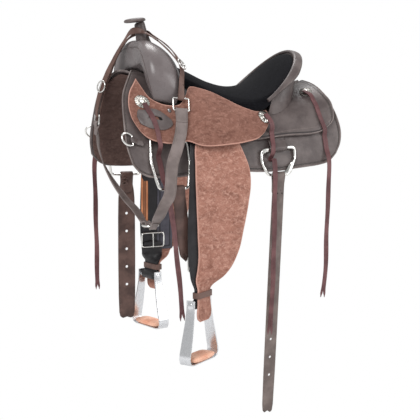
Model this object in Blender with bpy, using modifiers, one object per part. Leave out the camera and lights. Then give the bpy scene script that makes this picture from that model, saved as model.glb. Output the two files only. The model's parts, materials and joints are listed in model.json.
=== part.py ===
"""Western trail saddle with its stirrups, rigging, straps, strings and breast collar.

Metres, +Z up. The horse faces -X and its near (left) side is -Y. The origin is on the horse's spine, under the
seat. Everything that lies on the horse is laid out on one form, the horse's back: x runs along the spine, s runs
down the side from the spine, and d is the height above the form.
"""

import math

import bmesh
import bpy
import numpy as np
from mathutils import Matrix, Vector
from mathutils.bvhtree import BVHTree

# the horse's back: x, height of the spine, slope at the spine, slope at the hem, arc over which the slope turns
BACK = (
    (-0.36, 0.165, 0.0, 64.0, 0.115),
    (-0.28, 0.143, 0.0, 66.0, 0.125),
    (-0.18, 0.097, 2.0, 72.0, 0.190),
    (-0.05, 0.047, 5.0, 81.0, 0.285),
    (0.08, 0.030, 6.0, 81.0, 0.290),
    (0.20, 0.050, 8.0, 78.0, 0.265),
    (0.36, 0.100, 9.0, 74.0, 0.230),
)

# leathers, from the horse outwards
FIT = 0.0008
PIN_FIT = 0.0003
LINING = 0.006
SKIRT = 0.005
RIGGING = 0.004
JOCKEY = 0.0045
BAR = 0.018
LINING_INSET = 0.010
REAR_BAR = 0.010

# skirt outline in (x, s)
SKIRT_FRONT = ((-0.262, 0.060), (-0.292, 0.117), (-0.306, 0.160), (-0.312, 0.230), (-0.313, 0.300), (-0.303, 0.350))
SKIRT_HEM = (
    (-0.303, 0.350), (-0.286, 0.367), (-0.262, 0.373), (-0.235, 0.366), (-0.147, 0.335), (-0.050, 0.302),
    (0.032, 0.290), (0.178, 0.291), (0.265, 0.300), (0.292, 0.299), (0.316, 0.284),
)
HEM_MARGIN = 1.126
SKIRT_REAR = ((0.311, 0.035), (0.320, 0.118), (0.332, 0.170), (0.340, 0.222), (0.334, 0.257), (0.316, 0.284))
SKIRT_RIDGE = ((-0.262, 0.060), (-0.220, 0.035), (-0.100, 0.030), (0.120, 0.030), (0.260, 0.030), (0.311, 0.035))

# tree
BAR_SPAN = (-0.213, 0.255)
BAR_EDGES = (0.034, 0.124)
SWELL_X = -0.194
SWELL_END = 0.150
SWELL_LENGTH = 0.0525
SWELL_HEIGHT = 0.112
HORN_BASE = (-0.199, 0.0, 0.190)
HORN_NECK_TOP = (-0.216, 0.0, 0.270)
HORN_CAP_AT = (-0.228, 0.0, 0.2680)
HORN_NECK_RADIUS = 0.0160
HORN_CAP_RADIUS = 0.031
HORN_CAP_THICK = 0.013
HORN_CAP_TILT = 7.0

# seat
SEAT_FRONT = -0.128
SEAT_FRONT_HALF = 0.068
RIM_BACK = 0.243
RIM_ENDS = 0.100
RIM_HALF = 0.152
RIM_TOP = 0.186
RIM_LOW = 0.044
BAND_WIDTH = 0.028
BAND_END = 0.010
BAND_THICK = 0.0105
BAND_DROP = (0.22, 1.10)
SEAT_THICK = 0.020
CANTLE_LEAN = 0.006

# jockeys
JOCKEY_LIFT = (
    (-0.320, 0.0150), (-0.270, 0.0200), (-0.235, 0.0330), (-0.200, 0.0420), (-0.150, 0.0480), (0.020, 0.0480),
    (0.060, 0.0426), (0.085, 0.0354), (0.110, 0.0323), (0.130, 0.0313),
)

# stirrup leathers and fenders hang from the bars on this line and swing fore and aft
HANG_X = -0.092
HANG_Z = 0.050
LEATHER_TOP = 0.006
HANG_SEAT = 0.0008
LEATHER_TOP_WIDTH = 0.026
FAN_REACH = (
    (0.030, 0.146), (0.050, 0.158), (0.080, 0.1745), (0.120, 0.1960), (0.160, 0.2085), (0.200, 0.2165),
    (0.240, 0.2235), (0.300, 0.2250), (0.480, 0.2300), (0.620, 0.2310),
)
LEATHER = 0.004
LEATHER_WIDTH = 0.076
LEATHER_NECK = 0.062
LEATHER_NEAR_X = -0.118
LEATHER_OFF_X = -0.103
LEATHER_END = -0.372
FENDER = 0.0045
FENDER_LEFT = (
    (-0.048, -0.120), (-0.080, -0.129), (-0.110, -0.131), (-0.170, -0.134), (-0.300, -0.131), (-0.390, -0.131),
    (-0.430, -0.138), (-0.462, -0.1495), (-0.500, -0.1505), (-0.530, -0.154), (-0.540, -0.150), (-0.548, -0.138),
)
FENDER_RIGHT = (
    (-0.048, -0.005), (-0.085, 0.010), (-0.125, 0.024), (-0.170, 0.028), (-0.230, 0.021), (-0.300, 0.006),
    (-0.360, -0.010), (-0.410, -0.038), (-0.440, -0.068), (-0.462, -0.0865), (-0.500, -0.0855), (-0.530, -0.082),
    (-0.540, -0.086), (-0.548, -0.098),
)
TWIST_FROM = -0.425
TWIST_TO = -0.462
TWIST_NEAR = 37.0
TWIST_OFF = 74.0
HOBBLE_Z = -0.4735
HOBBLE_WIDTH = 0.017
HOBBLE_HALF = 0.0335

# stirrups
BOLT_Z = -0.502
BOLT_RADIUS = 0.008
STIRRUP_METAL = 0.0045
STIRRUP_SHAPE = (
    (0.0425, 0.015), (0.0430, 0.0), (0.0450, -0.020), (0.0530, -0.060), (0.0660, -0.110), (0.0735, -0.136),
    (0.0735, -0.148), (0.0690, -0.156), (0.0600, -0.1595), (0.0450, -0.1600), (0.0250, -0.1600),
)
STIRRUP_TOP_WIDTH = 0.026
STIRRUP_LOW_WIDTH = 0.036
TREAD_HALF = 0.056
TREAD_THICK = 0.016
TREAD_DEPTH = 0.050
HEAD_RADIUS = 0.009

# rings, laid on the form in (x, s): corners of each, the first two being the ends of the bar it hangs by
DEE_RADIUS = 0.0045
DEE_CORNER = 0.012
DEE_ROOM = 0.0010
FRONT_DEE = ((-0.240, 0.235), (-0.140, 0.235), (-0.137, 0.290), (-0.251, 0.330))
FRONT_DEE_LOW = (-0.148, -0.236, -0.182)
REAR_DEE = ((0.078, 0.229), (0.180, 0.229), (0.181, 0.262), (0.072, 0.262))
REAR_DEE_LOW = (0.158, 0.092, -0.157)
BREAST_DEE_RADIUS = 0.003
BREAST_DEE_AT = (-0.296, 0.282)
BREAST_DEE_SIZE = 0.018
BREAST_TAB = 0.0028
HANGER = 0.0032
FRONT_HANGER = (-0.190, 0.062, 0.160, 0.195)
REAR_HANGER = (0.129, 0.054, 0.165, 0.2065)

# straps folded over a ring: width, thickness, middle at the top, height and middle at the end
LATIGO = (0.040, 0.0045, -0.180, -0.392, -0.157)
OFF_BILLET = (0.054, 0.0045, -0.188, -0.632, -0.190)
FLANK_BILLET = (0.038, 0.0045, 0.124, -0.842, 0.092)
FOLD = 0.060
FOLD_WIDTH = 0.036
FOLD_ROOM = 0.0008

# breast collar
COLLAR = 0.0042
COLLAR_WIDTH = 0.034
WITHER = 0.0034
WITHER_WIDTH = 0.018
LOOP_RADIUS = 0.0025
LOOP_HALF = 0.0225
STRAP_ROOM = 0.0014
NEAR_LOOP_TOP = (-0.158, 0.146, 0.0630)
NEAR_LOOP_LOW = (-0.162, 0.172, 0.0620)
OFF_LOOP_TOP = (-0.316, 0.086, 0.008)
OFF_LOOP_LOW = (-0.318, 0.088, -0.017)
COLLAR_RING = (-0.228, -0.120, -0.292)
RING_ROOM = 0.0028
COLLAR_OFF_WIDTH = 0.026
COLLAR_END = 0.019
COLLAR_NEAR_LAID = ((-0.165, 0.200, 0.0640), (-0.171, 0.235, 0.0620), (-0.184, 0.281, 0.0540), (-0.200, 0.330, 0.0460))
COLLAR_NEAR_HUNG = (
    (-0.213, -0.2420, -0.190), (-0.2270, -0.2370, -0.222), (-0.2295, -0.208, -0.252), (-0.2295, -0.178, -0.274),
)
COLLAR_OFF_HUNG = (
    (-0.311, 0.105, -0.055), (-0.302, 0.125, -0.092), (-0.288, 0.120, -0.140), (-0.270, 0.090, -0.187),
    (-0.252, 0.030, -0.232), (-0.238, -0.030, -0.262),
)
COLLAR_RING_RADIUS = 0.022
COLLAR_RING_WIRE = 0.0032
BUCKLE_WIRE = 0.0020
NEAR_BUCKLE = (-0.146, -0.155, 0.143)
OFF_BUCKLE = (-0.302, 0.070, 0.095)

# strings and their rosettes, in (x, s) on the form and (x, z) below it
STRING_WIDTH = 0.014
STRING_THICK = 0.0024
STRING_ROOM = {"near_front": 0.0011, "near_middle": 0.0011, "near_rear": 0.0016, "off_front": 0.0014}
ROSETTE_RADIUS = 0.0185
ROSETTE_THICK = 0.0065
ROSETTES = {"front": (-0.257, 0.163), "middle": (0.099, 0.150), "rear": (0.262, 0.086)}
STRINGS = {
    "near_front": (-1.0, ((-0.255, 0.170), (-0.236, 0.215), (-0.228, 0.260), (-0.223, 0.310), (-0.218, 0.402)),
                   ((-0.2070, 0.2225, -0.220), (-0.2010, 0.2215, -0.250), (-0.190, 0.2260, -0.350),
                    (-0.176, 0.2260, -0.490), (-0.172, 0.2260, -0.546))),
    "near_middle": (-1.0, ((0.101, 0.147), (0.114, 0.183), (0.110, 0.215), (0.106, 0.245), (0.105, 0.262)),
                    ((0.105, 0.2170, -0.110), (0.105, 0.2240, -0.140), (0.104, 0.2270, -0.200), (0.102, 0.2270, -0.366),
                     (0.097, 0.2270, -0.509), (0.090, 0.2270, -0.608))),
    "near_rear": (-1.0, ((0.252, 0.087), (0.266, 0.115), (0.272, 0.165), (0.284, 0.211), (0.286, 0.262)),
                  ((0.284, 0.2080, -0.140), (0.279, 0.2080, -0.300), (0.276, 0.2080, -0.440), (0.268, 0.2080, -0.518))),
    "off_front": (1.0, ((-0.258, 0.171), (-0.272, 0.230), (-0.282, 0.282), (-0.288, 0.330), (-0.290, 0.362)),
                  ((-0.291, 0.209, -0.160), (-0.291, 0.206, -0.240), (-0.291, 0.200, -0.360), (-0.291, 0.194, -0.528))),
}
KEEPER = 0.003
KEEPER_SLOT = (
    (-0.246, 0.203), (-0.243, 0.198), (-0.214, 0.199), (-0.211, 0.204), (-0.214, 0.208), (-0.243, 0.208),
)
WITHER_FRONT = (
    (-0.153, -0.172, 0.108), (-0.144, -0.152, 0.147), (-0.161, -0.12, 0.177), (-0.174, -0.09, 0.203),
    (-0.192, -0.062, 0.224), (-0.214, -0.032, 0.243), (-0.234, -0.012, 0.247), (-0.239, 0.010, 0.243),
    (-0.246, 0.030, 0.226), (-0.268, 0.048, 0.180), (-0.292, 0.065, 0.125), (-0.312, 0.079, 0.065),
)
WITHER_BACK = (
    (-0.302, 0.086, 0.065), (-0.282, 0.077, 0.125), (-0.258, 0.068, 0.184), (-0.226, 0.051, 0.231),
    (-0.198, 0.022, 0.240), (-0.186, -0.008, 0.236), (-0.178, -0.04, 0.226), (-0.162, -0.08, 0.205),
    (-0.149, -0.115, 0.178), (-0.142, -0.148, 0.143), (-0.151, -0.165, 0.108),
)

SIDES = (("near", -1.0), ("off", 1.0))

LOOKS = {
    "smooth": ((0.135, 0.105, 0.097), 0.38, 0.0),
    "suede": ((0.300, 0.145, 0.110), 0.85, 0.0),
    "seat": ((0.012, 0.012, 0.014), 0.70, 0.0),
    "lining": ((0.060, 0.036, 0.031), 0.80, 0.0),
    "strap": ((0.062, 0.035, 0.029), 0.45, 0.0),
    "collar": ((0.205, 0.165, 0.150), 0.50, 0.0),
    "string": ((0.120, 0.045, 0.048), 0.60, 0.0),
    "tree": ((0.045, 0.034, 0.030), 0.65, 0.0),
    "tread": ((0.780, 0.420, 0.255), 0.60, 0.0),
    "steel": ((0.780, 0.770, 0.740), 0.22, 1.0),
    "aluminium": ((0.760, 0.770, 0.780), 0.35, 1.0),
}


def through(x, points):
    """The smooth curve through points in rising x."""
    xs = np.array([p[0] for p in points], float)
    ys = np.array([p[1] for p in points], float)
    slopes = np.gradient(ys, xs)
    x = np.clip(x, xs[0], xs[-1])
    i = np.clip(np.searchsorted(xs, x) - 1, 0, len(xs) - 2)
    h = xs[i + 1] - xs[i]
    t = (x - xs[i]) / h
    rise = (2 * t**3 - 3 * t**2 + 1) * ys[i] + (3 * t**2 - 2 * t**3) * ys[i + 1]
    return rise + h * ((t**3 - 2 * t**2 + t) * slopes[i] + (t**3 - t**2) * slopes[i + 1])


def step(t):
    """0 to 1 with soft ends."""
    t = np.clip(t, 0.0, 1.0)
    return t * t * (3 - 2 * t)


SECTIONS = {}


def section(x):
    """The form's half section at x: arcs, half widths, heights and slopes."""
    key = round(float(x), 6)
    if key not in SECTIONS:
        apex, top, low, arc = (through(x, [(row[0], row[k]) for row in BACK]) for k in (1, 2, 3, 4))
        s = np.linspace(0.0, max(low[1] for low in SKIRT_HEM) * HEM_MARGIN, 169)
        slope = np.radians(top + (low - top) * step(s / arc))
        ds = s[1] - s[0]
        out = np.concatenate([[0.0], np.cumsum((np.cos(slope[1:]) + np.cos(slope[:-1])) * ds / 2)])
        down = np.concatenate([[0.0], np.cumsum((np.sin(slope[1:]) + np.sin(slope[:-1])) * ds / 2)])
        SECTIONS[key] = s, out, apex - down, slope
    return SECTIONS[key]


def skin(x, s, d, side):
    """The point at x along the spine, s down the side and d above the horse."""
    arcs, out, height, slope = section(x)
    a = abs(s)
    lean = np.interp(a, arcs, slope)
    if s < 0:
        side = -side
    return Vector((
        x,
        side * (np.interp(a, arcs, out) + d * math.sin(lean)),
        np.interp(a, arcs, height) + d * math.cos(lean),
    ))


def smooth_path(points, count):
    """Points spread evenly along the smooth curve through the given ones."""
    p = np.array(points, float)
    if len(p) == 2:
        t = np.linspace(0, 1, count)[:, None]
        return p[0] * (1 - t) + p[1] * t
    ends = np.vstack([2 * p[0] - p[1], p, 2 * p[-1] - p[-2]])
    fine = []
    for i in range(len(p) - 1):
        a, b, c, e = ends[i:i + 4]
        for t in np.linspace(0, 1, 12, endpoint=False):
            fine.append(0.5 * (2 * b + (c - a) * t + (2 * a - 5 * b + 4 * c - e) * t**2
                               + (3 * b - a - 3 * c + e) * t**3))
    fine = np.array(fine + [p[-1]])
    run = np.concatenate([[0], np.cumsum(np.linalg.norm(np.diff(fine, axis=0), axis=1))])
    at = np.linspace(0, run[-1], count)
    return np.stack([np.interp(at, run, fine[:, k]) for k in range(fine.shape[1])], 1)


def patch(ridge, hem, front, rear, across, down):
    """A grid of (x, s) between four edges that meet at their ends."""
    top, low = smooth_path(ridge, across), smooth_path(hem, across)
    left, right = smooth_path(front, down), smooth_path(rear, down)
    grid = np.zeros((across, down, 2))
    for i in range(across):
        u = i / (across - 1)
        for j in range(down):
            v = j / (down - 1)
            edges = (1 - v) * top[i] + v * low[i] + (1 - u) * left[j] + u * right[j]
            corners = ((1 - u) * (1 - v) * top[0] + u * (1 - v) * top[-1] + (1 - u) * v * low[0] + u * v * low[-1])
            grid[i, j] = edges - corners
    return grid


# scene, materials and objects

def clear_scene():
    for item in list(bpy.data.objects):
        bpy.data.objects.remove(item, do_unlink=True)


def collection(name):
    made = bpy.data.collections.get(name) or bpy.data.collections.new(name)
    if made.name not in bpy.context.scene.collection.children:
        bpy.context.scene.collection.children.link(made)
    return made


def material(node, look):
    colour, rough, metal = LOOKS[look]
    made = bpy.data.materials.new(node)
    made.use_nodes = True
    shader = made.node_tree.nodes["Principled BSDF"]
    shader.inputs["Base Color"].default_value = (*colour, 1.0)
    shader.inputs["Roughness"].default_value = rough
    shader.inputs["Metallic"].default_value = metal
    return made


def finish(name, mesh, look, pivot=None, angle=40.0):
    """A named object whose mesh, given in world places, hangs on its pivot."""
    work = bmesh.new()
    work.from_mesh(mesh)
    bmesh.ops.recalc_face_normals(work, faces=work.faces)
    if work.calc_volume(signed=True) < 0:
        bmesh.ops.reverse_faces(work, faces=work.faces)
    work.to_mesh(mesh)
    work.free()
    if pivot is not None:
        mesh.transform(Matrix.Translation(-pivot.location))
    mesh.shade_smooth()
    mesh.set_sharp_from_angle(angle=math.radians(angle))
    mesh.materials.append(material(name, look))
    made = bpy.data.objects.new(name, mesh)
    SADDLE.objects.link(made)
    if pivot is not None:
        made.parent = pivot
    return made


def pivot(name, at):
    made = bpy.data.objects.new(name, None)
    made.location = at
    made.empty_display_size = 0.03
    SADDLE.objects.link(made)
    return made


def solid_from_rings(name, rings, look, pivot=None, closed=False, angle=40.0):
    """A loft through rings of equal count, capped at both ends unless it closes on itself."""
    count = len(rings[0])
    verts = [tuple(p) for ring in rings for p in ring]
    faces = []
    spans = len(rings) if closed else len(rings) - 1
    for i in range(spans):
        a, b = i * count, (i + 1) % len(rings) * count
        for k in range(count):
            n = (k + 1) % count
            faces.append((a + k, a + n, b + n, b + k))
    if not closed:
        faces.append(tuple(range(count)))
        faces.append(tuple(range((len(rings) - 1) * count, len(rings) * count)))
    mesh = bpy.data.meshes.new(name)
    mesh.from_pydata(verts, [], faces)
    return finish(name, mesh, look, pivot, angle)


def solid_from_grids(name, inner, outer, look, pivot=None):
    """A sheet between two grids of points: a grid pulled up from the inner face to the outer one."""
    across, down = len(inner), len(inner[0])
    work = bmesh.new()
    lower = [[work.verts.new(p) for p in row] for row in inner]
    upper = [[work.verts.new(p) for p in row] for row in outer]
    for i in range(across - 1):
        for j in range(down - 1):
            work.faces.new((lower[i][j], lower[i][j + 1], lower[i + 1][j + 1], lower[i + 1][j]))
            work.faces.new((upper[i][j], upper[i + 1][j], upper[i + 1][j + 1], upper[i][j + 1]))
    rim = ([(i, 0) for i in range(across)] + [(across - 1, j) for j in range(1, down)]
           + [(i, down - 1) for i in range(across - 2, -1, -1)] + [(0, j) for j in range(down - 2, 0, -1)])
    for (i, j), (k, m) in zip(rim, rim[1:] + rim[:1]):
        work.faces.new((lower[i][j], lower[k][m], upper[k][m], upper[i][j]))
    mesh = bpy.data.meshes.new(name)
    work.to_mesh(mesh)
    work.free()
    return finish(name, mesh, look, pivot)


def panel(name, grid, low, thick, look, side, pivot=None):
    """Leather laid on the form: low gives the height of its underside at (x, s)."""
    inner = [[skin(x, s, low(x, s), side) for x, s in row] for row in grid]
    outer = [[skin(x, s, low(x, s) + thick, side) for x, s in row] for row in grid]
    return solid_from_grids(name, inner, outer, look, pivot)


def strap(name, path, across, widths, thick, look, pivot=None, closed=False, place=None, parts=1):
    """A strap: a flat section with eased edges along a path, its width lying along across in so many parts.

    With a place, the path is in that place's own measures and each corner is carried over by it.
    """
    rings = []
    count = len(path)
    path = [Vector(p) for p in path]
    for i, p in enumerate(path):
        if closed:
            run = path[(i + 1) % count] - path[i - 1]
        else:
            run = path[min(i + 1, count - 1)] - path[max(i - 1, 0)]
        run.normalize()
        wide = Vector(across[i] if len(across) == count else across[0])
        wide = (wide - run * wide.dot(run)).normalized()
        up = run.cross(wide).normalized()
        half, h = (widths[i] if len(widths) == count else widths[0]) / 2, thick / 2
        ease = min(h * 0.6, half * 0.4)
        flat = np.linspace(-half + ease, half - ease, parts + 1)
        section = [(-half, -h + ease)] + [(a, -h) for a in flat] + [(half, -h + ease), (half, h - ease)]
        section += [(a, h) for a in flat[::-1]] + [(-half, h - ease)]
        ring = [p + wide * a + up * b for a, b in section]
        rings.append([place(q) for q in ring] if place else ring)
    return solid_from_rings(name, rings, look, pivot, closed)


def rounded(corners, radius, count=5):
    """The closed outline through corners, each corner eased by a curve that starts radius before it."""
    points = []
    for i, corner in enumerate(corners):
        here = Vector(corner)
        before, after = Vector(corners[i - 1]) - here, Vector(corners[(i + 1) % len(corners)]) - here
        a = here + before.normalized() * min(radius, before.length * 0.45)
        b = here + after.normalized() * min(radius, after.length * 0.45)
        for t in np.linspace(0, 1, count):
            points.append(a * (1 - t) ** 2 + here * 2 * t * (1 - t) + b * t * t)
    return points


def turn_round(centre, leave, away, radius, count=9):
    """Half a turn round a bar: from the side away from the horse, over the bar, to the side next to it."""
    centre, leave, away = Vector(centre), Vector(leave).normalized(), Vector(away).normalized()
    points, normals = [], []
    for a in np.linspace(0, math.pi, count):
        out = away * math.cos(a) - leave * math.sin(a)
        points.append(centre + out * radius)
        normals.append(out)
    return points, normals


def on_form(side):
    return lambda q: skin(q.x, q.y, q.z, side)


def in_fan(side):
    return lambda q: fan(q.x, q.y, q.z, side)


def bend(centre, radius, start, end, count):
    """Points on an arc in the plane of the last two measures, angles in degrees."""
    x, b, c = centre
    return [(x, b + radius * math.cos(math.radians(a)), c + radius * math.sin(math.radians(a)))
            for a in np.linspace(start, end, count)]


def draped(points, objects, gaps, width):
    """Points moved out until a strap of this width lies clear of the objects, and the direction away at each."""
    trees = surface_over(objects)
    points = [Vector(p) for p in points]
    moved, away = [], []
    for i, (p, gap) in enumerate(zip(points, gaps)):
        run = (points[min(i + 1, len(points) - 1)] - points[max(i - 1, 0)]).normalized()
        normal = min((tree.find_nearest(p) for tree in trees), key=lambda hit: hit[3])[1]
        for _ in range(4):
            wide = run.cross(normal).normalized()
            for part in (-0.5, 0.0, 0.5):
                for tree in trees:
                    q = p + wide * (width * part)
                    spot, n, index, far = tree.find_nearest(q)
                    inside = (q - spot).dot(n) < -0.3 * far
                    if inside or far < gap:
                        p = p + (spot + n * gap - q)
                        if part == 0.0:
                            normal = n
        moved.append(p)
        away.append(Vector(normal))
    return moved, away


def wire(name, points, radius, look, pivot=None, closed=True, sides=2):
    """A bent rod: a curve with a round bevel, turned into a mesh with welded caps."""
    curve = bpy.data.curves.new(name + "_path", "CURVE")
    curve.dimensions = "3D"
    curve.bevel_depth = radius
    curve.bevel_resolution = sides
    curve.use_fill_caps = True
    line = curve.splines.new("POLY")
    line.points.add(len(points) - 1)
    for spot, p in zip(line.points, points):
        spot.co = (*p, 1.0)
    line.use_cyclic_u = closed
    holder = bpy.data.objects.new(name + "_path", curve)
    SADDLE.objects.link(holder)
    bpy.context.view_layer.update()
    mesh = bpy.data.meshes.new_from_object(holder.evaluated_get(bpy.context.evaluated_depsgraph_get()))
    bpy.data.objects.remove(holder, do_unlink=True)
    work = bmesh.new()
    work.from_mesh(mesh)
    bmesh.ops.remove_doubles(work, verts=work.verts, dist=0.00001)
    work.to_mesh(mesh)
    work.free()
    return finish(name, mesh, look, pivot, 60.0)


def turned(name, profile, steps, look, matrix, pivot=None):
    """A profile of (radius, height) pairs, top to bottom, spun about the Z axis and put in place."""
    mesh = bpy.data.meshes.new(name + "_profile")
    mesh.from_pydata([(r, 0.0, z) for r, z in profile], [(i, i + 1) for i in range(len(profile) - 1)], [])
    made = bpy.data.objects.new(name + "_profile", mesh)
    SADDLE.objects.link(made)
    spin = made.modifiers.new("spin", "SCREW")
    spin.steps = steps
    spin.render_steps = steps
    spin.use_merge_vertices = True
    spin.merge_threshold = 0.00001
    bpy.context.view_layer.update()
    result = bpy.data.meshes.new_from_object(made.evaluated_get(bpy.context.evaluated_depsgraph_get()))
    bpy.data.objects.remove(made, do_unlink=True)
    result.transform(matrix)
    return finish(name, result, look, pivot)


def cut_clear(body, neighbour, gap):
    """Cuts a piece back to a small gap from a neighbour."""
    cutter = neighbour.copy()
    cutter.data = neighbour.data.copy()
    cutter.name = body.name + "_clearance"
    CUTTERS.objects.link(cutter)
    for v, n in zip(cutter.data.vertices, [v.normal.copy() for v in neighbour.data.vertices]):
        v.co += n * gap
    cutter.hide_render = True
    cutter.display_type = "WIRE"
    cut = body.modifiers.new("clear of " + neighbour.name, "BOOLEAN")
    cut.operation = "DIFFERENCE"
    cut.object = cutter
    return cutter


# heights above the form

def on_lining(x, s):
    return LINING + FIT


def on_skirt(x, s):
    return LINING + SKIRT + FIT


def bar_top(x):
    return on_skirt(x, 0) + FIT + REAR_BAR + (BAR - REAR_BAR) * (1 - step((x - 0.06) / 0.08))


def under_rear_jockey(x, s):
    flat = on_skirt(x, s) + RIGGING + 2 * FIT
    return flat + (bar_top(x) + 2.5 * FIT - flat) * (1 - step((s - BAR_EDGES[1] - 0.006) / 0.05))


def under_seat_jockey(x, s):
    return through(x, JOCKEY_LIFT)


# skirts, lining and tree

def make_skirts(name, side):
    edges = patch(SKIRT_RIDGE, SKIRT_HEM, SKIRT_FRONT, SKIRT_REAR, 20, 7)
    skirt = panel("skirt_" + name, edges, on_lining, SKIRT, "smooth", side)
    middle = edges.reshape(-1, 2).mean(0)
    inset = edges + (middle - edges) * LINING_INSET
    return skirt, panel("lining_" + name, inset, lambda x, s: 0.0, LINING - FIT, "lining", side)


def make_bar(name, side):
    lo, hi = BAR_SPAN
    near, far = BAR_EDGES
    edges = patch(
        ((lo, near), (0.0, near), (hi, near)), ((lo, far - 0.02), (lo + 0.03, far), (hi - 0.05, far), (hi, far - 0.03)),
        ((lo, near), (lo, far - 0.02)), ((hi, near), (hi, far - 0.03)), 13, 5,
    )
    row = min(edges, key=lambda row: abs(row[-1][0] - HANG_X))
    row[-1][1] = arc_out(row[-1][0], fan_reach(HANG_X, HANG_Z) + HANG_SEAT, bar_top(row[-1][0]))
    inner = [[skin(x, s, on_skirt(x, s) + 2 * FIT, side) for x, s in row] for row in edges]
    outer = [[skin(x, s, bar_top(x), side) for x, s in row] for row in edges]
    solid_from_grids("tree_bar_" + name, inner, outer, "tree")


def swell_reach(s):
    """Half length along x, and height above the form, of the swell at s."""
    a = abs(s)
    long = through(a, ((0.0, 0.042), (0.04, 0.046), (0.08, SWELL_LENGTH), (0.115, 0.048), (SWELL_END, 0.030)))
    high = through(a, ((0.0, SWELL_HEIGHT - 0.004), (0.04, SWELL_HEIGHT), (0.08, SWELL_HEIGHT - 0.004),
                       (0.115, 0.088), (0.135, 0.066), (SWELL_END, 0.040)))
    return long, high


def make_swell():
    floor = bar_top(SWELL_X) + FIT
    lip = on_skirt(SWELL_X, 0) + FIT
    rings = []
    for s in np.linspace(-SWELL_END, SWELL_END, 25):
        long, high = swell_reach(s)
        ring = []
        for k in range(16):
            a = 2 * math.pi * k / 16
            across = math.copysign(abs(math.cos(a)) ** 0.85, math.cos(a))
            up = math.sin(a)
            middle = floor + (high - floor) * 0.50
            if up >= 0:
                ring.append((SWELL_X + long * across, middle + (high - middle) * up))
            elif across < -0.6:
                ring.append((SWELL_X + long * across, lip + (middle - lip) * (1 + up)))
            else:
                ring.append((SWELL_X + long * across * (1 + 0.35 * up), middle + (middle - floor) * up))
        rings.append([skin(x, s, d, -1.0) for x, d in ring])
    return solid_from_rings("swell", rings, "smooth", angle=60.0)


def make_horn(swell):
    base, top = Vector(HORN_BASE), Vector(HORN_NECK_TOP)
    lean = (top - base).normalized()
    turn = lean.to_track_quat("Z", "Y").to_matrix().to_4x4()
    length = (top - base).length
    neck = turned(
        "horn_neck",
        [(0.0, length), (HORN_NECK_RADIUS * 0.98, length), (HORN_NECK_RADIUS, length * 0.75),
         (HORN_NECK_RADIUS * 1.12, length * 0.5), (HORN_NECK_RADIUS * 1.5, length * 0.2),
         (HORN_NECK_RADIUS * 1.9, 0.0), (0.0, 0.0)],
        20, "smooth", Matrix.Translation(base) @ turn,
    )
    cut_clear(neck, swell, PIN_FIT)
    tilt = Matrix.Translation(HORN_CAP_AT) @ Matrix.Rotation(math.radians(-HORN_CAP_TILT), 4, "Y")
    r, h = HORN_CAP_RADIUS, HORN_CAP_THICK
    cap = turned(
        "horn_cap",
        [(0.0, h), (r * 0.6, h * 0.95), (r * 0.9, h * 0.74), (r, h * 0.5), (r * 0.97, h * 0.25),
         (r * 0.72, h * 0.05), (0.0, 0.0)],
        28, "smooth", tilt,
    )
    cut_clear(neck, cap, PIN_FIT)
    return neck


# seat and cantle

def rim_point(a, grow=0.0):
    """The cantle's rim at angle a from the middle, in plan an egg and leaning back."""
    c, s = math.cos(a), math.sin(a)
    return Vector((
        RIM_ENDS + (RIM_BACK - RIM_ENDS + grow) * abs(c) ** 0.75,
        (RIM_HALF + grow) * s,
        RIM_LOW + (RIM_TOP - RIM_LOW + grow * 0.3) * abs(c) ** 0.9,
    ))


def seat_point(u, v):
    """The seat's top: u from the swell to the rim, v from the near edge to the off edge."""
    a = v * math.pi / 2
    middle_x = SEAT_FRONT + (RIM_BACK - SEAT_FRONT) * u
    edge_x = SEAT_FRONT + (RIM_ENDS - SEAT_FRONT) * u
    x = edge_x + (middle_x - edge_x) * abs(math.cos(a)) ** 0.75
    half = through(u, ((0.0, SEAT_FRONT_HALF), (0.25, 0.088), (0.5, 0.118), (0.75, 0.142), (1.0, RIM_HALF)))
    y = half * math.sin(a)
    middle_z = through(u, ((0.0, 0.150), (0.12, 0.129), (0.3, 0.098), (0.48, 0.084), (0.62, 0.090), (0.76, 0.115),
                           (0.9, 0.158), (1.0, RIM_TOP)))
    edge_z = through(u, ((0.0, 0.118), (0.2, 0.092), (0.45, 0.062), (0.7, 0.047), (1.0, RIM_LOW)))
    crown = math.cos(a) ** 2 if u < 0.7 else abs(math.cos(a)) ** (2 - 1.1 * (u - 0.7) / 0.3)
    return Vector((x, y, edge_z + (middle_z - edge_z) * crown))


def seat_floor(x, y):
    """Height of the bars' tops under a point of the seat."""
    arcs, out, height, slope = section(x)
    d = bar_top(x) + 2 * FIT
    if x > 0.015:
        d = under_rear_jockey(x, 0) + JOCKEY + 2 * FIT
    return float(np.interp(abs(y), out + d * np.sin(slope), height + d * np.cos(slope)))


def make_seat():
    across, along = 15, 17
    top, low = [], []
    for i in range(along):
        u = i / (along - 1)
        top_row, low_row = [], []
        for j in range(across):
            v = -1 + 2 * j / (across - 1)
            p = seat_point(u, v)
            under = max(p.z - SEAT_THICK * (1.0 + 0.4 * (1 - u)), seat_floor(p.x, p.y) + FIT)
            under = min(under, p.z - 0.006)
            low_row.append(Vector((p.x, p.y, under)))
            top_row.append(p)
        top.append(top_row)
        low.append(low_row)
    return solid_from_grids("seat", low, top, "seat")


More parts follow.
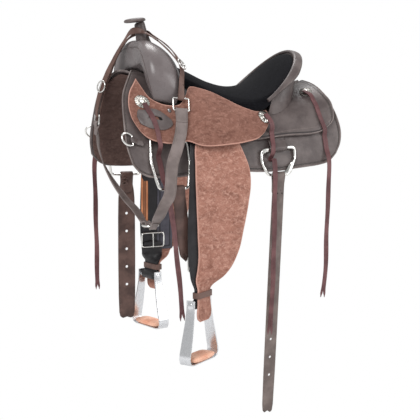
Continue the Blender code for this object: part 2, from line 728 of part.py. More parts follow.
def cantle_frames():
    """Along the rim: its place, the directions across and out of the band that edges it, and the band's width."""
    count = 25
    angles = [math.radians(a) for a in np.linspace(-88, 88, count)]
    rim = [rim_point(a) for a in angles]
    frames = []
    for i, (a, p) in enumerate(zip(angles, rim)):
        run = (rim[min(i + 1, count - 1)] - rim[max(i - 1, 0)]).normalized()
        flat = Vector((p.x - RIM_ENDS + 0.05, p.y, 0)).normalized()
        drop = BAND_DROP[0] + (BAND_DROP[1] - BAND_DROP[0]) * math.sin(a) ** 2
        side = flat - Vector((0, 0, drop))
        side = (side - run * side.dot(run)).normalized()
        up = side.cross(run).normalized()
        if up.z < 0:
            up = -up
        width = BAND_END + (BAND_WIDTH - BAND_END) * float(step(min(i, count - 1 - i) / 5))
        frames.append((p, side, up, width))
    return frames


def make_cantle():
    """The broad band that edges the seat, and the wall that carries it on the rear jockeys."""
    frames = cantle_frames()
    band = []
    for p, side, up, width in frames:
        middle = p + side * (width / 2 + FIT) + up * (BAND_THICK / 2)
        ring = []
        for k in range(12):
            t = 2 * math.pi * k / 12
            across = math.copysign(abs(math.cos(t)) ** 0.6, math.cos(t)) * width / 2
            rise = math.copysign(abs(math.sin(t)) ** 0.8, math.sin(t)) * BAND_THICK / 2
            ring.append(middle + side * across + up * rise)
        band.append(ring)
    solid_from_rings("cantle_roll", band, "smooth", angle=60.0)
    wall = []
    for p, side, up, width in frames[5:-5]:
        out = Vector((side.x, side.y, 0)).normalized()
        near, far = p + side * (width * 0.40) - up * (FIT / 2), p + side * (width * 0.90) - up * (FIT / 2)
        points = [near, far]
        for q in (far - out * CANTLE_LEAN, near - out * CANTLE_LEAN):
            ground = skin_height(q.x, q.y, under_rear_jockey(q.x, 0) + JOCKEY + FIT)
            points.append(Vector((q.x, q.y, min(ground, q.z - 0.003))))
        wall.append(points)
    solid_from_rings("cantle_back", wall, "smooth", angle=50.0)


def skin_height(x, y, d):
    arcs, out, height, slope = section(min(x, 0.36))
    return float(np.interp(abs(y), out + d * np.sin(slope), height + d * np.cos(slope)))


# jockeys

def make_jockeys(name, side):
    seat_edges = patch(
        ((-0.263, 0.098), (-0.251, 0.122), (-0.236, 0.146), (-0.212, 0.157), (-0.185, 0.159), (-0.158, 0.154),
         (-0.135, 0.130), (-0.115, 0.104), (-0.089, 0.096), (-0.049, 0.096), (-0.010, 0.112), (0.030, 0.128),
         (0.070, 0.134), (0.116, 0.126)),
        ((-0.281, 0.232), (-0.262, 0.259), (-0.235, 0.271), (-0.193, 0.266), (-0.150, 0.247), (-0.115, 0.249),
         (-0.071, 0.242), (-0.027, 0.233), (0.003, 0.226), (0.056, 0.210), (0.085, 0.192)),
        ((-0.263, 0.098), (-0.284, 0.135), (-0.293, 0.175), (-0.290, 0.210), (-0.281, 0.232)),
        ((0.116, 0.126), (0.115, 0.148), (0.105, 0.170), (0.085, 0.192)), 24, 6,
    )
    front = panel("seat_jockey_" + name, seat_edges, under_seat_jockey, JOCKEY, "suede", side)
    rear_edges = patch(
        ((0.030, 0.128), (0.120, 0.060), (0.200, 0.014), (0.292, 0.006)),
        ((0.034, 0.208), (0.108, 0.201), (0.172, 0.201), (0.262, 0.212), (0.304, 0.200)),
        ((0.030, 0.128), (0.034, 0.208)),
        ((0.292, 0.006), (0.300, 0.060), (0.309, 0.112), (0.320, 0.148), (0.320, 0.182), (0.304, 0.200)), 15, 8,
    )
    return front, panel("rear_jockey_" + name, rear_edges, under_rear_jockey, JOCKEY, "smooth", side)


# fenders, stirrup leathers and stirrups

def fan_reach(x, z):
    """How far out the leathers hang at a distance from the hang line: the same all round it, so they can swing."""
    return float(through(math.hypot(x - HANG_X, z - HANG_Z), FAN_REACH))


def leather_x(side):
    return LEATHER_NEAR_X if side < 0 else LEATHER_OFF_X


def twist(side):
    """Degrees by which the leather is turned above the stirrup."""
    return TWIST_NEAR if side < 0 else TWIST_OFF


def fan(x, out, z, side):
    """A point of the fender or leather. out is measured outward from the leather's inner face."""
    turn = math.radians(twist(side)) * step((TWIST_FROM - z) / (TWIST_FROM - TWIST_TO))
    middle = leather_x(side)
    axis = fan_reach(middle, z)
    dx, dy = x - middle, fan_reach(x, z) + out - axis
    c, s = math.cos(turn), math.sin(turn)
    return Vector((middle + dx * c + dy * s, side * (axis - dx * s + dy * c), z))


def bolt_depth():
    """How far the bolt lies inside the leather's middle, so that the leather fits round it."""
    return BOLT_RADIUS + PIN_FIT + LEATHER / 2


def fan_rows(top, low):
    """Heights at which both the leather and the fender are drawn, so that they lie together."""
    rows = [0.044, 0.030, 0.012, -0.016, -0.048, -0.072, -0.098, -0.126, -0.160, -0.210, -0.280, -0.345, -0.390]
    rows += list(np.linspace(TWIST_FROM, TWIST_TO, 7)) + [-0.478, BOLT_Z, -0.516, -0.530, -0.540, -0.548]
    return [z for z in rows if low - 0.001 < z < top + 0.001]


def make_fender(name, side, swing):
    across = 7
    shift = leather_x(side) - LEATHER_NEAR_X
    inner, outer = [], []
    left = [(-z, x) for z, x in FENDER_LEFT]
    right = [(-z, x) for z, x in FENDER_RIGHT]
    for z in fan_rows(FENDER_LEFT[0][0], FENDER_LEFT[-1][0]):
        a, b = float(through(-z, left)), float(through(-z, right))
        low, high = [], []
        for k in range(across):
            x = a + (b - a) * k / (across - 1) + shift * float(step(-z / 0.25))
            low.append(fan(x, LEATHER + 2 * FIT, z, side))
            high.append(fan(x, LEATHER + 2 * FIT + FENDER, z, side))
        inner.append(low)
        outer.append(high)
    return solid_from_grids("fender_" + name, inner, outer, "suede", swing)


def leather_middle(z, side):
    end = leather_x(side)
    return through(-z, ((-0.010, HANG_X), (0.100, (HANG_X + end) / 2), (0.250, end), (0.600, end)))


def make_leather(name, side, swing):
    """The stirrup leather: down inside the fender, round the bolt and up again to its buckle."""
    middle = LEATHER / 2
    depth = bolt_depth()
    inner = middle - LEATHER - FIT
    x = leather_x(side)
    path = [(leather_middle(z, side), middle, z) for z in fan_rows(HANG_Z - LEATHER_TOP, BOLT_Z)]
    path += bend((x, middle - depth, BOLT_Z), depth, 0.0, -180.0, 13)[1:]
    for rise in (0.004, 0.007, 0.010, 0.013, 0.016, 0.019):
        close = float(step((rise - 0.004) / 0.015))
        path.append((x, middle - 2 * depth + (inner - middle + 2 * depth) * close, BOLT_Z + rise))
    path += [(x, inner, z) for z in fan_rows(LEATHER_END, BOLT_Z + 0.025)[::-1]]
    widths = [LEATHER_WIDTH + (LEATHER_NECK - LEATHER_WIDTH) * float(step((-z - 0.36) / 0.07))
              - (LEATHER_WIDTH - LEATHER_TOP_WIDTH) * float(step((z + 0.02) / (HANG_Z - LEATHER_TOP + 0.02)))
              for _, _, z in path]
    return strap("stirrup_leather_" + name, path, [(1, 0, 0)], widths, LEATHER, "strap", swing,
                 place=in_fan(side), parts=2)


def make_hobble(name, side, swing):
    """The small strap that holds the leather and the fender together above the bolt."""
    low, high = -LEATHER - 2 * FIT, LEATHER + FENDER + 3 * FIT
    middle, half_out, thick = (low + high) / 2, (high - low) / 2, 0.0022
    corners = [(1, 1), (-1, 1), (-1, -1), (1, -1)]
    loop = []
    for (a, b), start in zip(corners, (0, 90, 180, 270)):
        for turn in (0, 30, 60, 90):
            angle = math.radians(start + turn)
            loop.append((a, b, math.cos(angle), math.sin(angle)))
    ease = 0.002
    rings = []
    for a, b, c, d in loop:
        ring = []
        for r, h in ((ease, -1), (ease + thick, -1), (ease + thick, 1), (ease, 1)):
            ring.append(fan(
                leather_x(side) + a * (HOBBLE_HALF - ease) + r * c, middle + b * (half_out + FIT - ease) + r * d,
                HOBBLE_Z + h * HOBBLE_WIDTH / 2, side,
            ))
        rings.append(ring)
    return solid_from_rings("hobble_strap_" + name, rings, "strap", swing, closed=True)


def make_buckle(name, side, swing):
    """The frame buckle that lies on the inner run of the leather."""
    r = 0.0028
    out = -LEATHER - FIT - r - 0.5 * FIT
    half, high, low = 0.036, -0.368, -0.412
    corner = 0.007
    points = []
    for a, b, start in ((1, 1, 0), (-1, 1, 90), (-1, -1, 180), (1, -1, 270)):
        z = high - corner if b > 0 else low + corner
        for turn in (0, 30, 60, 90):
            angle = math.radians(start + turn)
            points.append(fan(leather_x(side) + a * (half - corner) + corner * math.cos(angle), out,
                              z + corner * math.sin(angle), side))
    return wire("stirrup_buckle_" + name, points, r, "steel", swing)


def stirrup_frame(side):
    """The bolt's middle, the direction along it and the direction out from it."""
    turn = math.radians(twist(side))
    middle = fan(leather_x(side), LEATHER / 2 - bolt_depth(), BOLT_Z, side)
    along = Vector((math.cos(turn), -side * math.sin(turn), 0.0))
    out = Vector((math.sin(turn), side * math.cos(turn), 0.0))
    return middle, along, out


def make_stirrup(name, side, hang):
    middle, along, out = stirrup_frame(side)
    half = smooth_path(STIRRUP_SHAPE, 16)
    shape = [(-a, z) for a, z in half] + [(a, z) for a, z in half[::-1]]
    path = [middle + along * a + Vector((0, 0, z)) for a, z in shape]
    widths = [STIRRUP_TOP_WIDTH + (STIRRUP_LOW_WIDTH - STIRRUP_TOP_WIDTH) * float(step(-z / 0.13)) for a, z in shape]
    metal = strap("stirrup_" + name, path, [out], widths, STIRRUP_METAL, "aluminium", hang)
    arm = STIRRUP_SHAPE[1][0]
    head, sleeve = arm + STIRRUP_METAL / 2 + 0.003, arm - STIRRUP_METAL / 2 - 0.0012
    turn = Matrix((
        (out.x, 0.0, along.x, 0), (out.y, 0.0, along.y, 0), (0.0, 1.0, 0.0, 0), (0, 0, 0, 1),
    ))
    bolt = turned(
        "stirrup_bolt_" + name,
        [(0.0, head), (HEAD_RADIUS * 0.7, head), (HEAD_RADIUS, head - 0.001), (HEAD_RADIUS, arm),
         (0.005, arm), (0.005, sleeve), (BOLT_RADIUS, sleeve), (BOLT_RADIUS, -sleeve), (0.005, -sleeve),
         (0.005, -arm), (HEAD_RADIUS, -arm), (HEAD_RADIUS, -head + 0.001), (HEAD_RADIUS * 0.7, -head), (0.0, -head)],
        14, "aluminium", Matrix.Translation(middle) @ turn, hang,
    )
    SADDLE.objects.unlink(bolt)
    CUTTERS.objects.link(bolt)
    bolt.hide_render = True
    bolt.display_type = "WIRE"
    join = metal.modifiers.new("bolt", "BOOLEAN")
    join.operation = "UNION"
    join.object = bolt
    make_tread(name, middle, along, out, hang)


def make_tread(name, middle, along, out, hang):
    """The padded tread on the stirrup's lower bar."""
    floor = STIRRUP_SHAPE[-1][1] + STIRRUP_METAL / 2 + FIT
    rings = []
    for t in np.linspace(-1, 1, 9):
        full = 1.0 if abs(t) < 0.99 else 0.72
        ring = []
        for k in range(16):
            a = 2 * math.pi * k / 16
            wide = math.copysign(abs(math.cos(a)) ** 0.55, math.cos(a)) * TREAD_DEPTH / 2 * full
            high = math.copysign(abs(math.sin(a)) ** 0.55, math.sin(a)) * TREAD_THICK / 2 * full
            crown = 0.0015 * (1 - t * t) if high > 0 else 0.0
            ring.append(middle + along * (t * TREAD_HALF) + out * wide
                        + Vector((0, 0, floor + TREAD_THICK / 2 + high + crown)))
        rings.append(ring)
    return solid_from_rings("tread_" + name, rings, "tread", hang, angle=60.0)


# rigging

def dee_corners(corners, low):
    """The ring's corners with the lower bar, given by its two ends and its height, set level."""
    right, left, z = low
    rest = on_skirt(0, 0) + DEE_RADIUS + 2 * FIT
    return list(corners[:3]) + [(right, arc_at(right, z, rest)), (left, arc_at(left, z, rest)), corners[3]]


def arc_at(x, z, d):
    """How far down the side the form stands at height z, d above it."""
    arcs, out, height, slope = section(x)
    return float(np.interp(-z, -(height + d * np.cos(slope)), arcs))


def arc_out(x, y, d):
    """How far down the side the form stands at half width y, d above it."""
    arcs, out, height, slope = section(x)
    return float(np.interp(y, out + d * np.sin(slope), arcs))


def hanger_depths():
    """Heights of the hanger's lower run, of the ring's bar in its fold, and of its upper run."""
    low = on_skirt(0, 0) + FIT + HANGER / 2
    return low, low + DEE_RADIUS + DEE_ROOM + HANGER / 2, low + HANGER + FIT


def make_rigging(name, side, which, outline, sizes):
    """A ring and the folded leather that holds its straight bar."""
    low, bar, high = hanger_depths()
    middle, width, top, back = sizes
    s = outline[0][1]
    radius = DEE_RADIUS + DEE_ROOM + HANGER / 2
    path = [(middle, v, low) for v in np.linspace(top, s, 5)]
    path += bend((middle, s, bar), radius, -90.0, 90.0, 9)[1:]
    path += [(middle, s + (back - s) * t, bar + radius + (high - bar - radius) * float(step(t / 0.8)))
             for t in (0.2, 0.4, 0.6, 0.8, 1.0)]
    hanger = strap(which + "_hanger_" + name, path, [(1, 0, 0)], [width], HANGER, "smooth", place=on_form(side),
                   parts=2)
    centre, along = hinge_bar(side, outline, sizes)
    ends = [centre + along * ((x - centre.x) / along.x) for x in (outline[0][0], outline[1][0])]
    rest = on_skirt(0, 0) + DEE_RADIUS + 2 * FIT
    corners = [ends[0], ends[1]] + [skin(x, t, rest, side) for x, t in outline[2:]]
    for i, j in ((2, 1), (-1, 0)):
        (x, t), (u, v) = outline[i], outline[j]
        knee = skin((x + u) / 2, (t + v) / 2, rest + 0.0005, side)
        corners.insert(2 if i > 0 else len(corners), knee)
    hinge = pivot(which + "_dee_axis_" + name, centre)
    return [hanger, wire(which + "_dee_" + name, rounded(corners, DEE_CORNER, 4), DEE_RADIUS, "steel", hinge)]


def hinge_bar(side, outline, sizes):
    """The middle and the direction of a ring's straight upper bar."""
    middle, width = sizes[:2]
    s, bar = outline[0][1], hanger_depths()[1]
    along = skin(middle + width / 2, s, bar, side) - skin(middle - width / 2, s, bar, side)
    return skin(middle, s, bar, side), along.normalized()


def ring_foot(side, outline, x):
    """The place on a ring's lower bar at x."""
    (right, a), (left, b) = outline[3], outline[4]
    rest = on_skirt(0, 0) + DEE_RADIUS + 2 * FIT
    return skin(left, b, rest, side).lerp(skin(right, a, rest, side), (x - left) / (right - left))


def make_billet(name, side, outline, sizes):
    """A strap folded over the lower bar of a ring and hanging from it."""
    width, thick, top_x, end_z, end_x = sizes
    at = ring_foot(side, outline, top_x)
    radius = DEE_RADIUS + PIN_FIT + FOLD_ROOM + thick / 2
    hinge = pivot(name + "_axis", at)
    length = at.z - end_z
    lean = (end_x - top_x) / length
    along = (ring_foot(side, outline, top_x + 0.01) - at).normalized()
    path, widths = [], []

    def add(drop, out, wide):
        path.append((top_x + lean * drop, at.y + side * out + along.y / along.x * lean * drop, at.z - drop))
        widths.append(wide)

    for drop in (FOLD, 0.040, 0.026, 0.014, 0.004):
        close = float(step((drop - 0.004) / 0.024))
        add(drop, -radius + (radius - (thick + FIT) / 2) * close, FOLD_WIDTH)
    for a in np.linspace(180, 0, 9):
        path.append((top_x, at.y + side * radius * math.cos(math.radians(a)),
                     at.z + radius * math.sin(math.radians(a))))
        widths.append(FOLD_WIDTH)
    for drop in [0.004, 0.014, 0.026, 0.05] + list(np.linspace(0.085, length - 0.018, 5)):
        close = float(step((drop - 0.004) / 0.024))
        add(drop, radius - (radius - (thick + FIT) / 2) * close,
            FOLD_WIDTH + (width - FOLD_WIDTH) * float(step((drop - 0.02) / 0.05)))
    point = 1.0 if name == "latigo_near" else 0.5
    add(length - 0.007, (thick + FIT) / 2, width * (0.35 + 0.65 * math.sqrt(point)))
    add(length, (thick + FIT) / 2, width * point)
    return strap(name, path, [along], widths, thick, "strap", hinge)


def make_breast_dee(name, side):
    """The small ring at the skirt's front and the tab that holds it."""
    x, s = BREAST_DEE_AT
    low = on_skirt(0, 0) + FIT + BREAST_TAB / 2
    radius = BREAST_DEE_RADIUS + PIN_FIT + BREAST_TAB / 2
    bar, high = low + radius, low + BREAST_TAB + FIT
    path = [(x + v, s, low) for v in (0.034, 0.022, 0.010, 0.0)]
    for a in np.linspace(-90, 90, 9)[1:]:
        path.append((x - radius * math.cos(math.radians(a)), s, bar + radius * math.sin(math.radians(a))))
    path += [(x + v, s, bar + radius + (high - bar - radius) * float(step(v / 0.016)))
             for v in (0.004, 0.008, 0.012, 0.016, 0.034)]
    tab = strap("breast_tab_" + name, path, [(0, 1, 0)], [0.016], BREAST_TAB, "smooth", place=on_form(side))
    hinge = pivot("breast_dee_axis_" + name, skin(x, s, bar, side))
    size = BREAST_DEE_SIZE
    reach = math.degrees(math.acos(0.012 / size))
    ring = [(x, s + v) for v in (-0.011, -0.004, 0.004, 0.011)]
    ring += [(x - 0.012 + size * math.cos(a), s + size * math.sin(a))
             for a in (math.radians(v) for v in np.linspace(reach, 360 - reach, 13))]
    wire("breast_dee_" + name, [skin(u, v, bar, side) for u, v in ring], BREAST_DEE_RADIUS, "steel", hinge)
    return tab


# rosettes, keeper and strings

def make_button(name, x, s, radius, thick, surface, look, side):
    """A domed disc that follows the leather under it."""
    rings = []
    for part, h in ((0.08, 0.0), (1.0, 0.0), (1.0, 0.30), (0.85, 0.66), (0.5, 0.92), (0.08, 1.0)):
        ring = []
        for k in range(18):
            a = 2 * math.pi * k / 18
            u, v = x + radius * part * math.cos(a), s + radius * part * math.sin(a)
            ring.append(skin(u, v, surface(u, v) + FIT + thick * h, side))
        rings.append(ring)
    return solid_from_rings(name, rings, look, angle=50.0)


def on_rear_jockey(x, s):
    return under_rear_jockey(x, s) + JOCKEY


def on_seat_jockey(x, s):
    return under_seat_jockey(x, s) + JOCKEY


def make_keeper():
    """The slotted keeper on the near jockey through which the latigo's end is stowed."""
    rows = patch(
        ((-0.270, 0.188), (-0.250, 0.186), (-0.232, 0.178), (-0.210, 0.184), (-0.188, 0.199)),
        ((-0.268, 0.229), (-0.244, 0.237), (-0.212, 0.234), (-0.194, 0.222)),
        ((-0.270, 0.188), (-0.275, 0.208), (-0.268, 0.229)), ((-0.188, 0.199), (-0.186, 0.211), (-0.194, 0.222)), 9, 5,
    )
    keeper = panel("latigo_keeper", rows, lambda x, s: on_seat_jockey(x, s) + FIT, KEEPER, "smooth", -1.0)
    slot = []
    for u, v in KEEPER_SLOT:
        slot.append([skin(u, v, on_seat_jockey(u, v) - 0.002, -1.0), skin(u, v, on_seat_jockey(u, v) + 0.008, -1.0)])
    cutter = solid_from_rings("keeper_slot", [[p[0] for p in slot], [p[1] for p in slot]], "smooth")
    SADDLE.objects.unlink(cutter)
    CUTTERS.objects.link(cutter)
    cutter.hide_render = True
    cutter.display_type = "WIRE"
    cut = keeper.modifiers.new("slot", "BOOLEAN")
    cut.operation = "DIFFERENCE"
    cut.object = cutter
    return keeper


def surface_over(objects):
    """Search trees of the objects' skins, for laying things over them."""
    return [BVHTree.FromPolygons([v.co + o_place for v in o.data.vertices],
                                 [tuple(f.vertices) for f in o.data.polygons])
            for o, o_place in ((o, o.parent.location if o.parent else Vector()) for o in objects)]


def laid_over(spots, trees, side):
    """Height above the form of the outermost skin at any of the (x, s) spots."""
    top = 0.14
    best = 0.0
    for x, s in spots:
        start = skin(x, s, top, side)
        way = (skin(x, s, 0.0, side) - start).normalized()
        for tree in trees:
            spot, normal, index, far = tree.ray_cast(start, way, top)
            if spot is not None:
                best = max(best, top - far)
    return best


def make_string(name, under):
    """A saddle string: from its rosette over the leathers, then straight down."""
    side, laid, hung = STRINGS[name]
    trees = surface_over(under)
    flat = smooth_path(laid, 15)
    path, away = [], []
    for i, here in enumerate(flat):
        spots = []
        for other in (flat[max(i - 1, 0)], flat[min(i + 1, len(flat) - 1)]):
            for t in (0.0, 0.35, 0.7, 1.0):
                x, v = here + (other - here) * t
                spots += [(x + dx, v) for dx in (-STRING_WIDTH / 2 - 0.001, 0.0, STRING_WIDTH / 2 + 0.001)]
        d = laid_over(spots, trees, side) + STRING_THICK / 2 + STRING_ROOM[name]
        path.append(skin(*here, d, side))
        away.append((skin(*here, d + 0.01, side) - path[-1]).normalized())
    outward = Vector((0.0, side, 0.0))
    for x, y, z in hung:
        path.append(Vector((x, side * y, z)))
        away.append(outward)
    return strap("saddle_string_" + name, path, widths_along(path, away), [STRING_WIDTH], STRING_THICK, "string")


def widths_along(path, away, closed=False):
    """The direction of a strap's width at each point, square to its run and to the direction away from the horse."""
    count = len(path)
    across = []
    for i, n in enumerate(away):
        if closed:
            run = path[(i + 1) % count] - path[i - 1]
        else:
            run = path[min(i + 1, count - 1)] - path[max(i - 1, 0)]
        across.append(run.cross(n).normalized())
    return across


# breast collar

def loop_places():
    """Each loop's upper bar, lower bar, direction along the bars and direction away from the horse."""
    places = {}
    for name, top, low, wide, away in (
        ("near", skin(*NEAR_LOOP_TOP, -1.0), skin(*NEAR_LOOP_LOW, -1.0), (1, 0, 0), (0, -1, 0)),
        ("off", Vector(OFF_LOOP_TOP), Vector(OFF_LOOP_LOW), (0, 1, 0), (-1, 0, 0)),
    ):
        down = (low - top).normalized()
        wide = Vector(wide)
        wide = (wide - down * wide.dot(down)).normalized()
        out = wide.cross(down)
        places[name] = top, low, wide, out if out.dot(Vector(away)) > 0 else -out
    return places


def make_wither_strap(swell, neck):
    """One endless strap: up from the near loop, round both sides of the horn and down to the off loop."""
    near_top, near_low, near_wide, near_away = loop_places()["near"]
    off_top, off_low, off_wide, off_away = loop_places()["off"]
    radius = LOOP_RADIUS + PIN_FIT + FIT / 2 + WITHER / 2
    count = 20
    snug = WITHER / 2 + FIT + STRAP_ROOM
    over = snug + WITHER + 2 * FIT
    gaps = [over + (snug - over) * float(step((i - 5) / 4)) for i in range(count)]
    front, front_out = draped(smooth_path(WITHER_FRONT, count), (swell, neck), gaps, WITHER_WIDTH)
    back, back_out = draped(smooth_path(WITHER_BACK, count), (swell, neck), [snug + STRAP_ROOM] * count,
                            WITHER_WIDTH)
    off_turn, off_out = turn_round(off_top, off_top - off_low, off_away, radius, 7)
    near_turn, near_out = turn_round(near_top, near_top - near_low, near_away, radius, 7)
    path = front + off_turn + back + near_turn[::-1]
    away = front_out + off_out + [-n for n in back_out] + near_out[::-1]
    across = widths_along(path, away, True)
    for i in range(7):
        across[count + i] = off_wide if across[count + i].dot(off_wide) > 0 else -off_wide
        k = 2 * count + 7 + i
        across[k] = near_wide if across[k].dot(near_wide) > 0 else -near_wide
    made = strap("wither_strap", path, across, [WITHER_WIDTH], WITHER, "strap", closed=True)
    return made, front, front_out


def make_loop(name, top, low, wide):
    """A rectangular wire loop between two bars."""
    down = low - top
    flat = rounded([(-LOOP_HALF, 0), (LOOP_HALF, 0), (LOOP_HALF, down.length), (-LOOP_HALF, down.length)], 0.004, 4)
    points = [top + wide * q.x + down.normalized() * q.y for q in flat]
    return wire(name, points, LOOP_RADIUS, "steel")


def make_collar_buckle(name, path, away, place, carrier):
    """An oval frame lying on the strap at the point of its path nearest to a place."""
    place = Vector(place)
    i = min(range(1, len(path) - 1), key=lambda k: (path[k] - place).length)
    run = (path[i + 1] - path[i - 1]).normalized()
    normal = (away[i] - run * away[i].dot(run)).normalized()
    wide = run.cross(normal)
    centre = path[i] + normal * (WITHER / 2 + BUCKLE_WIRE + 2 * FIT)
    tree = surface_over([carrier])[0]
    for _ in range(3):
        points = [centre + run * (0.017 * math.cos(a)) + wide * (0.0145 * math.sin(a))
                  for a in (2 * math.pi * k / 20 for k in range(20))]
        clear = min(tree.find_nearest(p)[3] for p in points) - BUCKLE_WIRE
        centre = centre - normal * (clear - 0.6 * FIT)
    return wire(name, points, BUCKLE_WIRE, "steel")


def collar_end(ring, toward):
    """The fold of a strap round the ring, where the strap comes from a place: its points and width directions."""
    radial = Vector((toward.x - ring.x, toward.y - ring.y, 0)).normalized()
    foot = ring + radial * COLLAR_RING_RADIUS
    along = Vector((-radial.y, radial.x, 0))
    leave = toward - foot
    leave = (leave - along * leave.dot(along)).normalized()
    outside = leave.cross(along)
    if outside.z > 0:
        outside = -outside
    radius = COLLAR_RING_WIRE + RING_ROOM + COLLAR / 2
    turn, _ = turn_round(foot, leave, outside, radius, 8)
    gather = 2 * radius - COLLAR - FIT
    tail = [turn[-1] + leave * t + outside * (gather * float(step(t / 0.02))) for t in (0.007, 0.014, 0.021, 0.032)]
    return turn + tail, along


def collar_start(bar, away, down, radius):
    """The fold of a strap round a loop's lower bar, from its tail to its outer side."""
    turn, _ = turn_round(bar, down, away, radius, 8)
    gather = 2 * radius - COLLAR - FIT
    tail = [turn[-1] + down * t + away * (gather * float(step(t / 0.018))) for t in (0.006, 0.012, 0.018, 0.034)]
    return (turn + tail)[::-1]


def make_collar():
    places = loop_places()
    hinge = pivot("collar_axis", (places["near"][1] + places["off"][1]) / 2)
    ring = Vector(COLLAR_RING)
    points = [ring + Vector((math.cos(a), math.sin(a), 0)) * COLLAR_RING_RADIUS
              for a in (2 * math.pi * k / 20 for k in range(20))]
    wire("collar_ring", points, COLLAR_RING_WIRE, "steel", hinge)
    radius = LOOP_RADIUS + PIN_FIT + FIT / 2 + COLLAR / 2
    near_hung = [skin(*q, -1.0) for q in COLLAR_NEAR_LAID] + [Vector(q) for q in COLLAR_NEAR_HUNG]
    off_hung = [Vector(q) for q in COLLAR_OFF_HUNG]
    for name, hung, width in (("near", near_hung, COLLAR_WIDTH), ("off", off_hung, COLLAR_OFF_WIDTH)):
        top, low, wide, away = places[name]
        start = collar_start(low, away, (low - top).normalized(), radius)
        end, along = collar_end(ring, hung[-1])
        if along.dot(wide) < 0:
            along = -along
        middle = smooth_path([tuple(p) for p in [start[-1]] + hung + [end[0]]], 15)[1:-1]
        path = start + [Vector(p) for p in middle] + end
        last = len(path) - len(end)
        across, widths = [], []
        for i in range(len(path)):
            t = float(step((i - len(start)) / (last - len(start))))
            across.append(wide.lerp(along, t).normalized())
            widths.append(width + (COLLAR_END - width) * float(step((i - last + 3) / 3)))
        strap("collar_" + name, path, across, widths, COLLAR, "collar", hinge)


def main():
    clear_scene()
    swell = make_swell()
    neck = make_horn(swell)
    make_seat()
    make_cantle()
    laid = {}
    front_dee, rear_dee = dee_corners(FRONT_DEE, FRONT_DEE_LOW), dee_corners(REAR_DEE, REAR_DEE_LOW)
    for name, side in SIDES:
        skirt, lining = make_skirts(name, side)
        make_bar(name, side)
        front, rear = make_jockeys(name, side)
        swing = pivot("fender_axis_" + name, (HANG_X, side * fan_reach(HANG_X, HANG_Z - LEATHER_TOP), HANG_Z))
        make_fender(name, side, swing)
        make_leather(name, side, swing)
        make_hobble(name, side, swing)
        make_buckle(name, side, swing)
        hang = pivot("stirrup_axis_" + name, stirrup_frame(side)[0])
        make_stirrup(name, side, hang)
        rigging = make_rigging(name, side, "front", front_dee, FRONT_HANGER)
        rigging += make_rigging(name, side, "rear", rear_dee, REAR_HANGER)
        laid[side] = [skirt, front, rear, make_breast_dee(name, side)] + rigging
    for spot, (x, t) in ROSETTES.items():
        for name, side in SIDES:
            if spot == "front" or side < 0:
                surface = on_rear_jockey if spot == "rear" else on_seat_jockey
                button = make_button("rosette_%s_%s" % (name, spot), x, t, ROSETTE_RADIUS, ROSETTE_THICK, surface,
                                     "steel", side)
                laid[side].append(button)
    laid[-1.0].append(make_keeper())
    for name in STRINGS:
        make_string(name, laid[STRINGS[name][0]])
    make_billet("latigo_near", -1.0, front_dee, LATIGO)
    make_billet("off_billet", 1.0, front_dee, OFF_BILLET)
    make_billet("flank_billet_near", -1.0, rear_dee, FLANK_BILLET)
    carrier, path, away = make_wither_strap(swell, neck)
    for name, (top, low, wide, away_from_horse) in loop_places().items():
        make_loop("collar_loop_" + name, top, low, wide)
    make_collar_buckle("collar_buckle_near", path, away, NEAR_BUCKLE, carrier)
    make_collar_buckle("collar_buckle_off", path, away, OFF_BUCKLE, carrier)
    make_collar()


SADDLE = collection("saddle")
CUTTERS = collection("cutters")
main()
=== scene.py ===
# %% [markdown]
# # A western trail saddle
#
# The saddle hangs in the air as if it sat on a horse that isn't there. Its measured parts are loaded first. The
# lesson then gives each of them its leather, suede, cord or metal, and adds what a maker adds last: seams,
# holes, tongues, lacing and padding. All lengths are in metres, the horse faces -X, and its near side is -Y.

import json
import math

import bmesh
import bpy
import numpy as np
from mathutils import Matrix, Vector
from mathutils.bvhtree import BVHTree


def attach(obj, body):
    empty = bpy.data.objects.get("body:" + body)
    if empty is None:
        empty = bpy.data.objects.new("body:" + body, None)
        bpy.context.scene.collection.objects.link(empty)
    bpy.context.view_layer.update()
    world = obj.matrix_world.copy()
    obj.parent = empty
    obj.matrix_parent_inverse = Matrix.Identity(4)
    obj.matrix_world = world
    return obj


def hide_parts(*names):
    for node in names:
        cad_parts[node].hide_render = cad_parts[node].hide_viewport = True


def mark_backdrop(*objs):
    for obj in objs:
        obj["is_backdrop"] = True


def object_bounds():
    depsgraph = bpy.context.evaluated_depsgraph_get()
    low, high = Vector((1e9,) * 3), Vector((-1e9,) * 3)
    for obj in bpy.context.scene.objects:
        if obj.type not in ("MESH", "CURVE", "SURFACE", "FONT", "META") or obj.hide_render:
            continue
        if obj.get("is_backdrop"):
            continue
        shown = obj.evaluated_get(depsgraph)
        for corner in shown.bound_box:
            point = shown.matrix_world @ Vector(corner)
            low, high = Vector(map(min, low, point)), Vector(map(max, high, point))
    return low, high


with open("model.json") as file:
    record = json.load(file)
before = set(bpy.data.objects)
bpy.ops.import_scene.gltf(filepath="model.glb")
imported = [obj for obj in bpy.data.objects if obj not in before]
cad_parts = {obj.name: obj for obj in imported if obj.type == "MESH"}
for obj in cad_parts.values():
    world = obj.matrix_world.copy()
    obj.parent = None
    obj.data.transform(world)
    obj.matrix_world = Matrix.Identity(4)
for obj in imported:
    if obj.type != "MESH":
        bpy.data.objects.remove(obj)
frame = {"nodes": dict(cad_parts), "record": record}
nodes = frame["nodes"]
start_bounds = [list(corner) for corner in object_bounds()]
print("parts", len(nodes), "box", [[round(v, 3) for v in corner] for corner in start_bounds])

SIDES = (("near", -1.0), ("off", 1.0))

# %% [markdown]
# ## Camera, floor and light
#
# The saddle is seen from a little above, from in front of its near side, with a long lens, so that the straps
# stay straight. The floor and the background are plain and white. Three large soft lamps stand round it: one high
# on the left gives the leather its long highlights, a weaker one on the right opens the shadows, and one from
# above behind draws the edge of the seat.

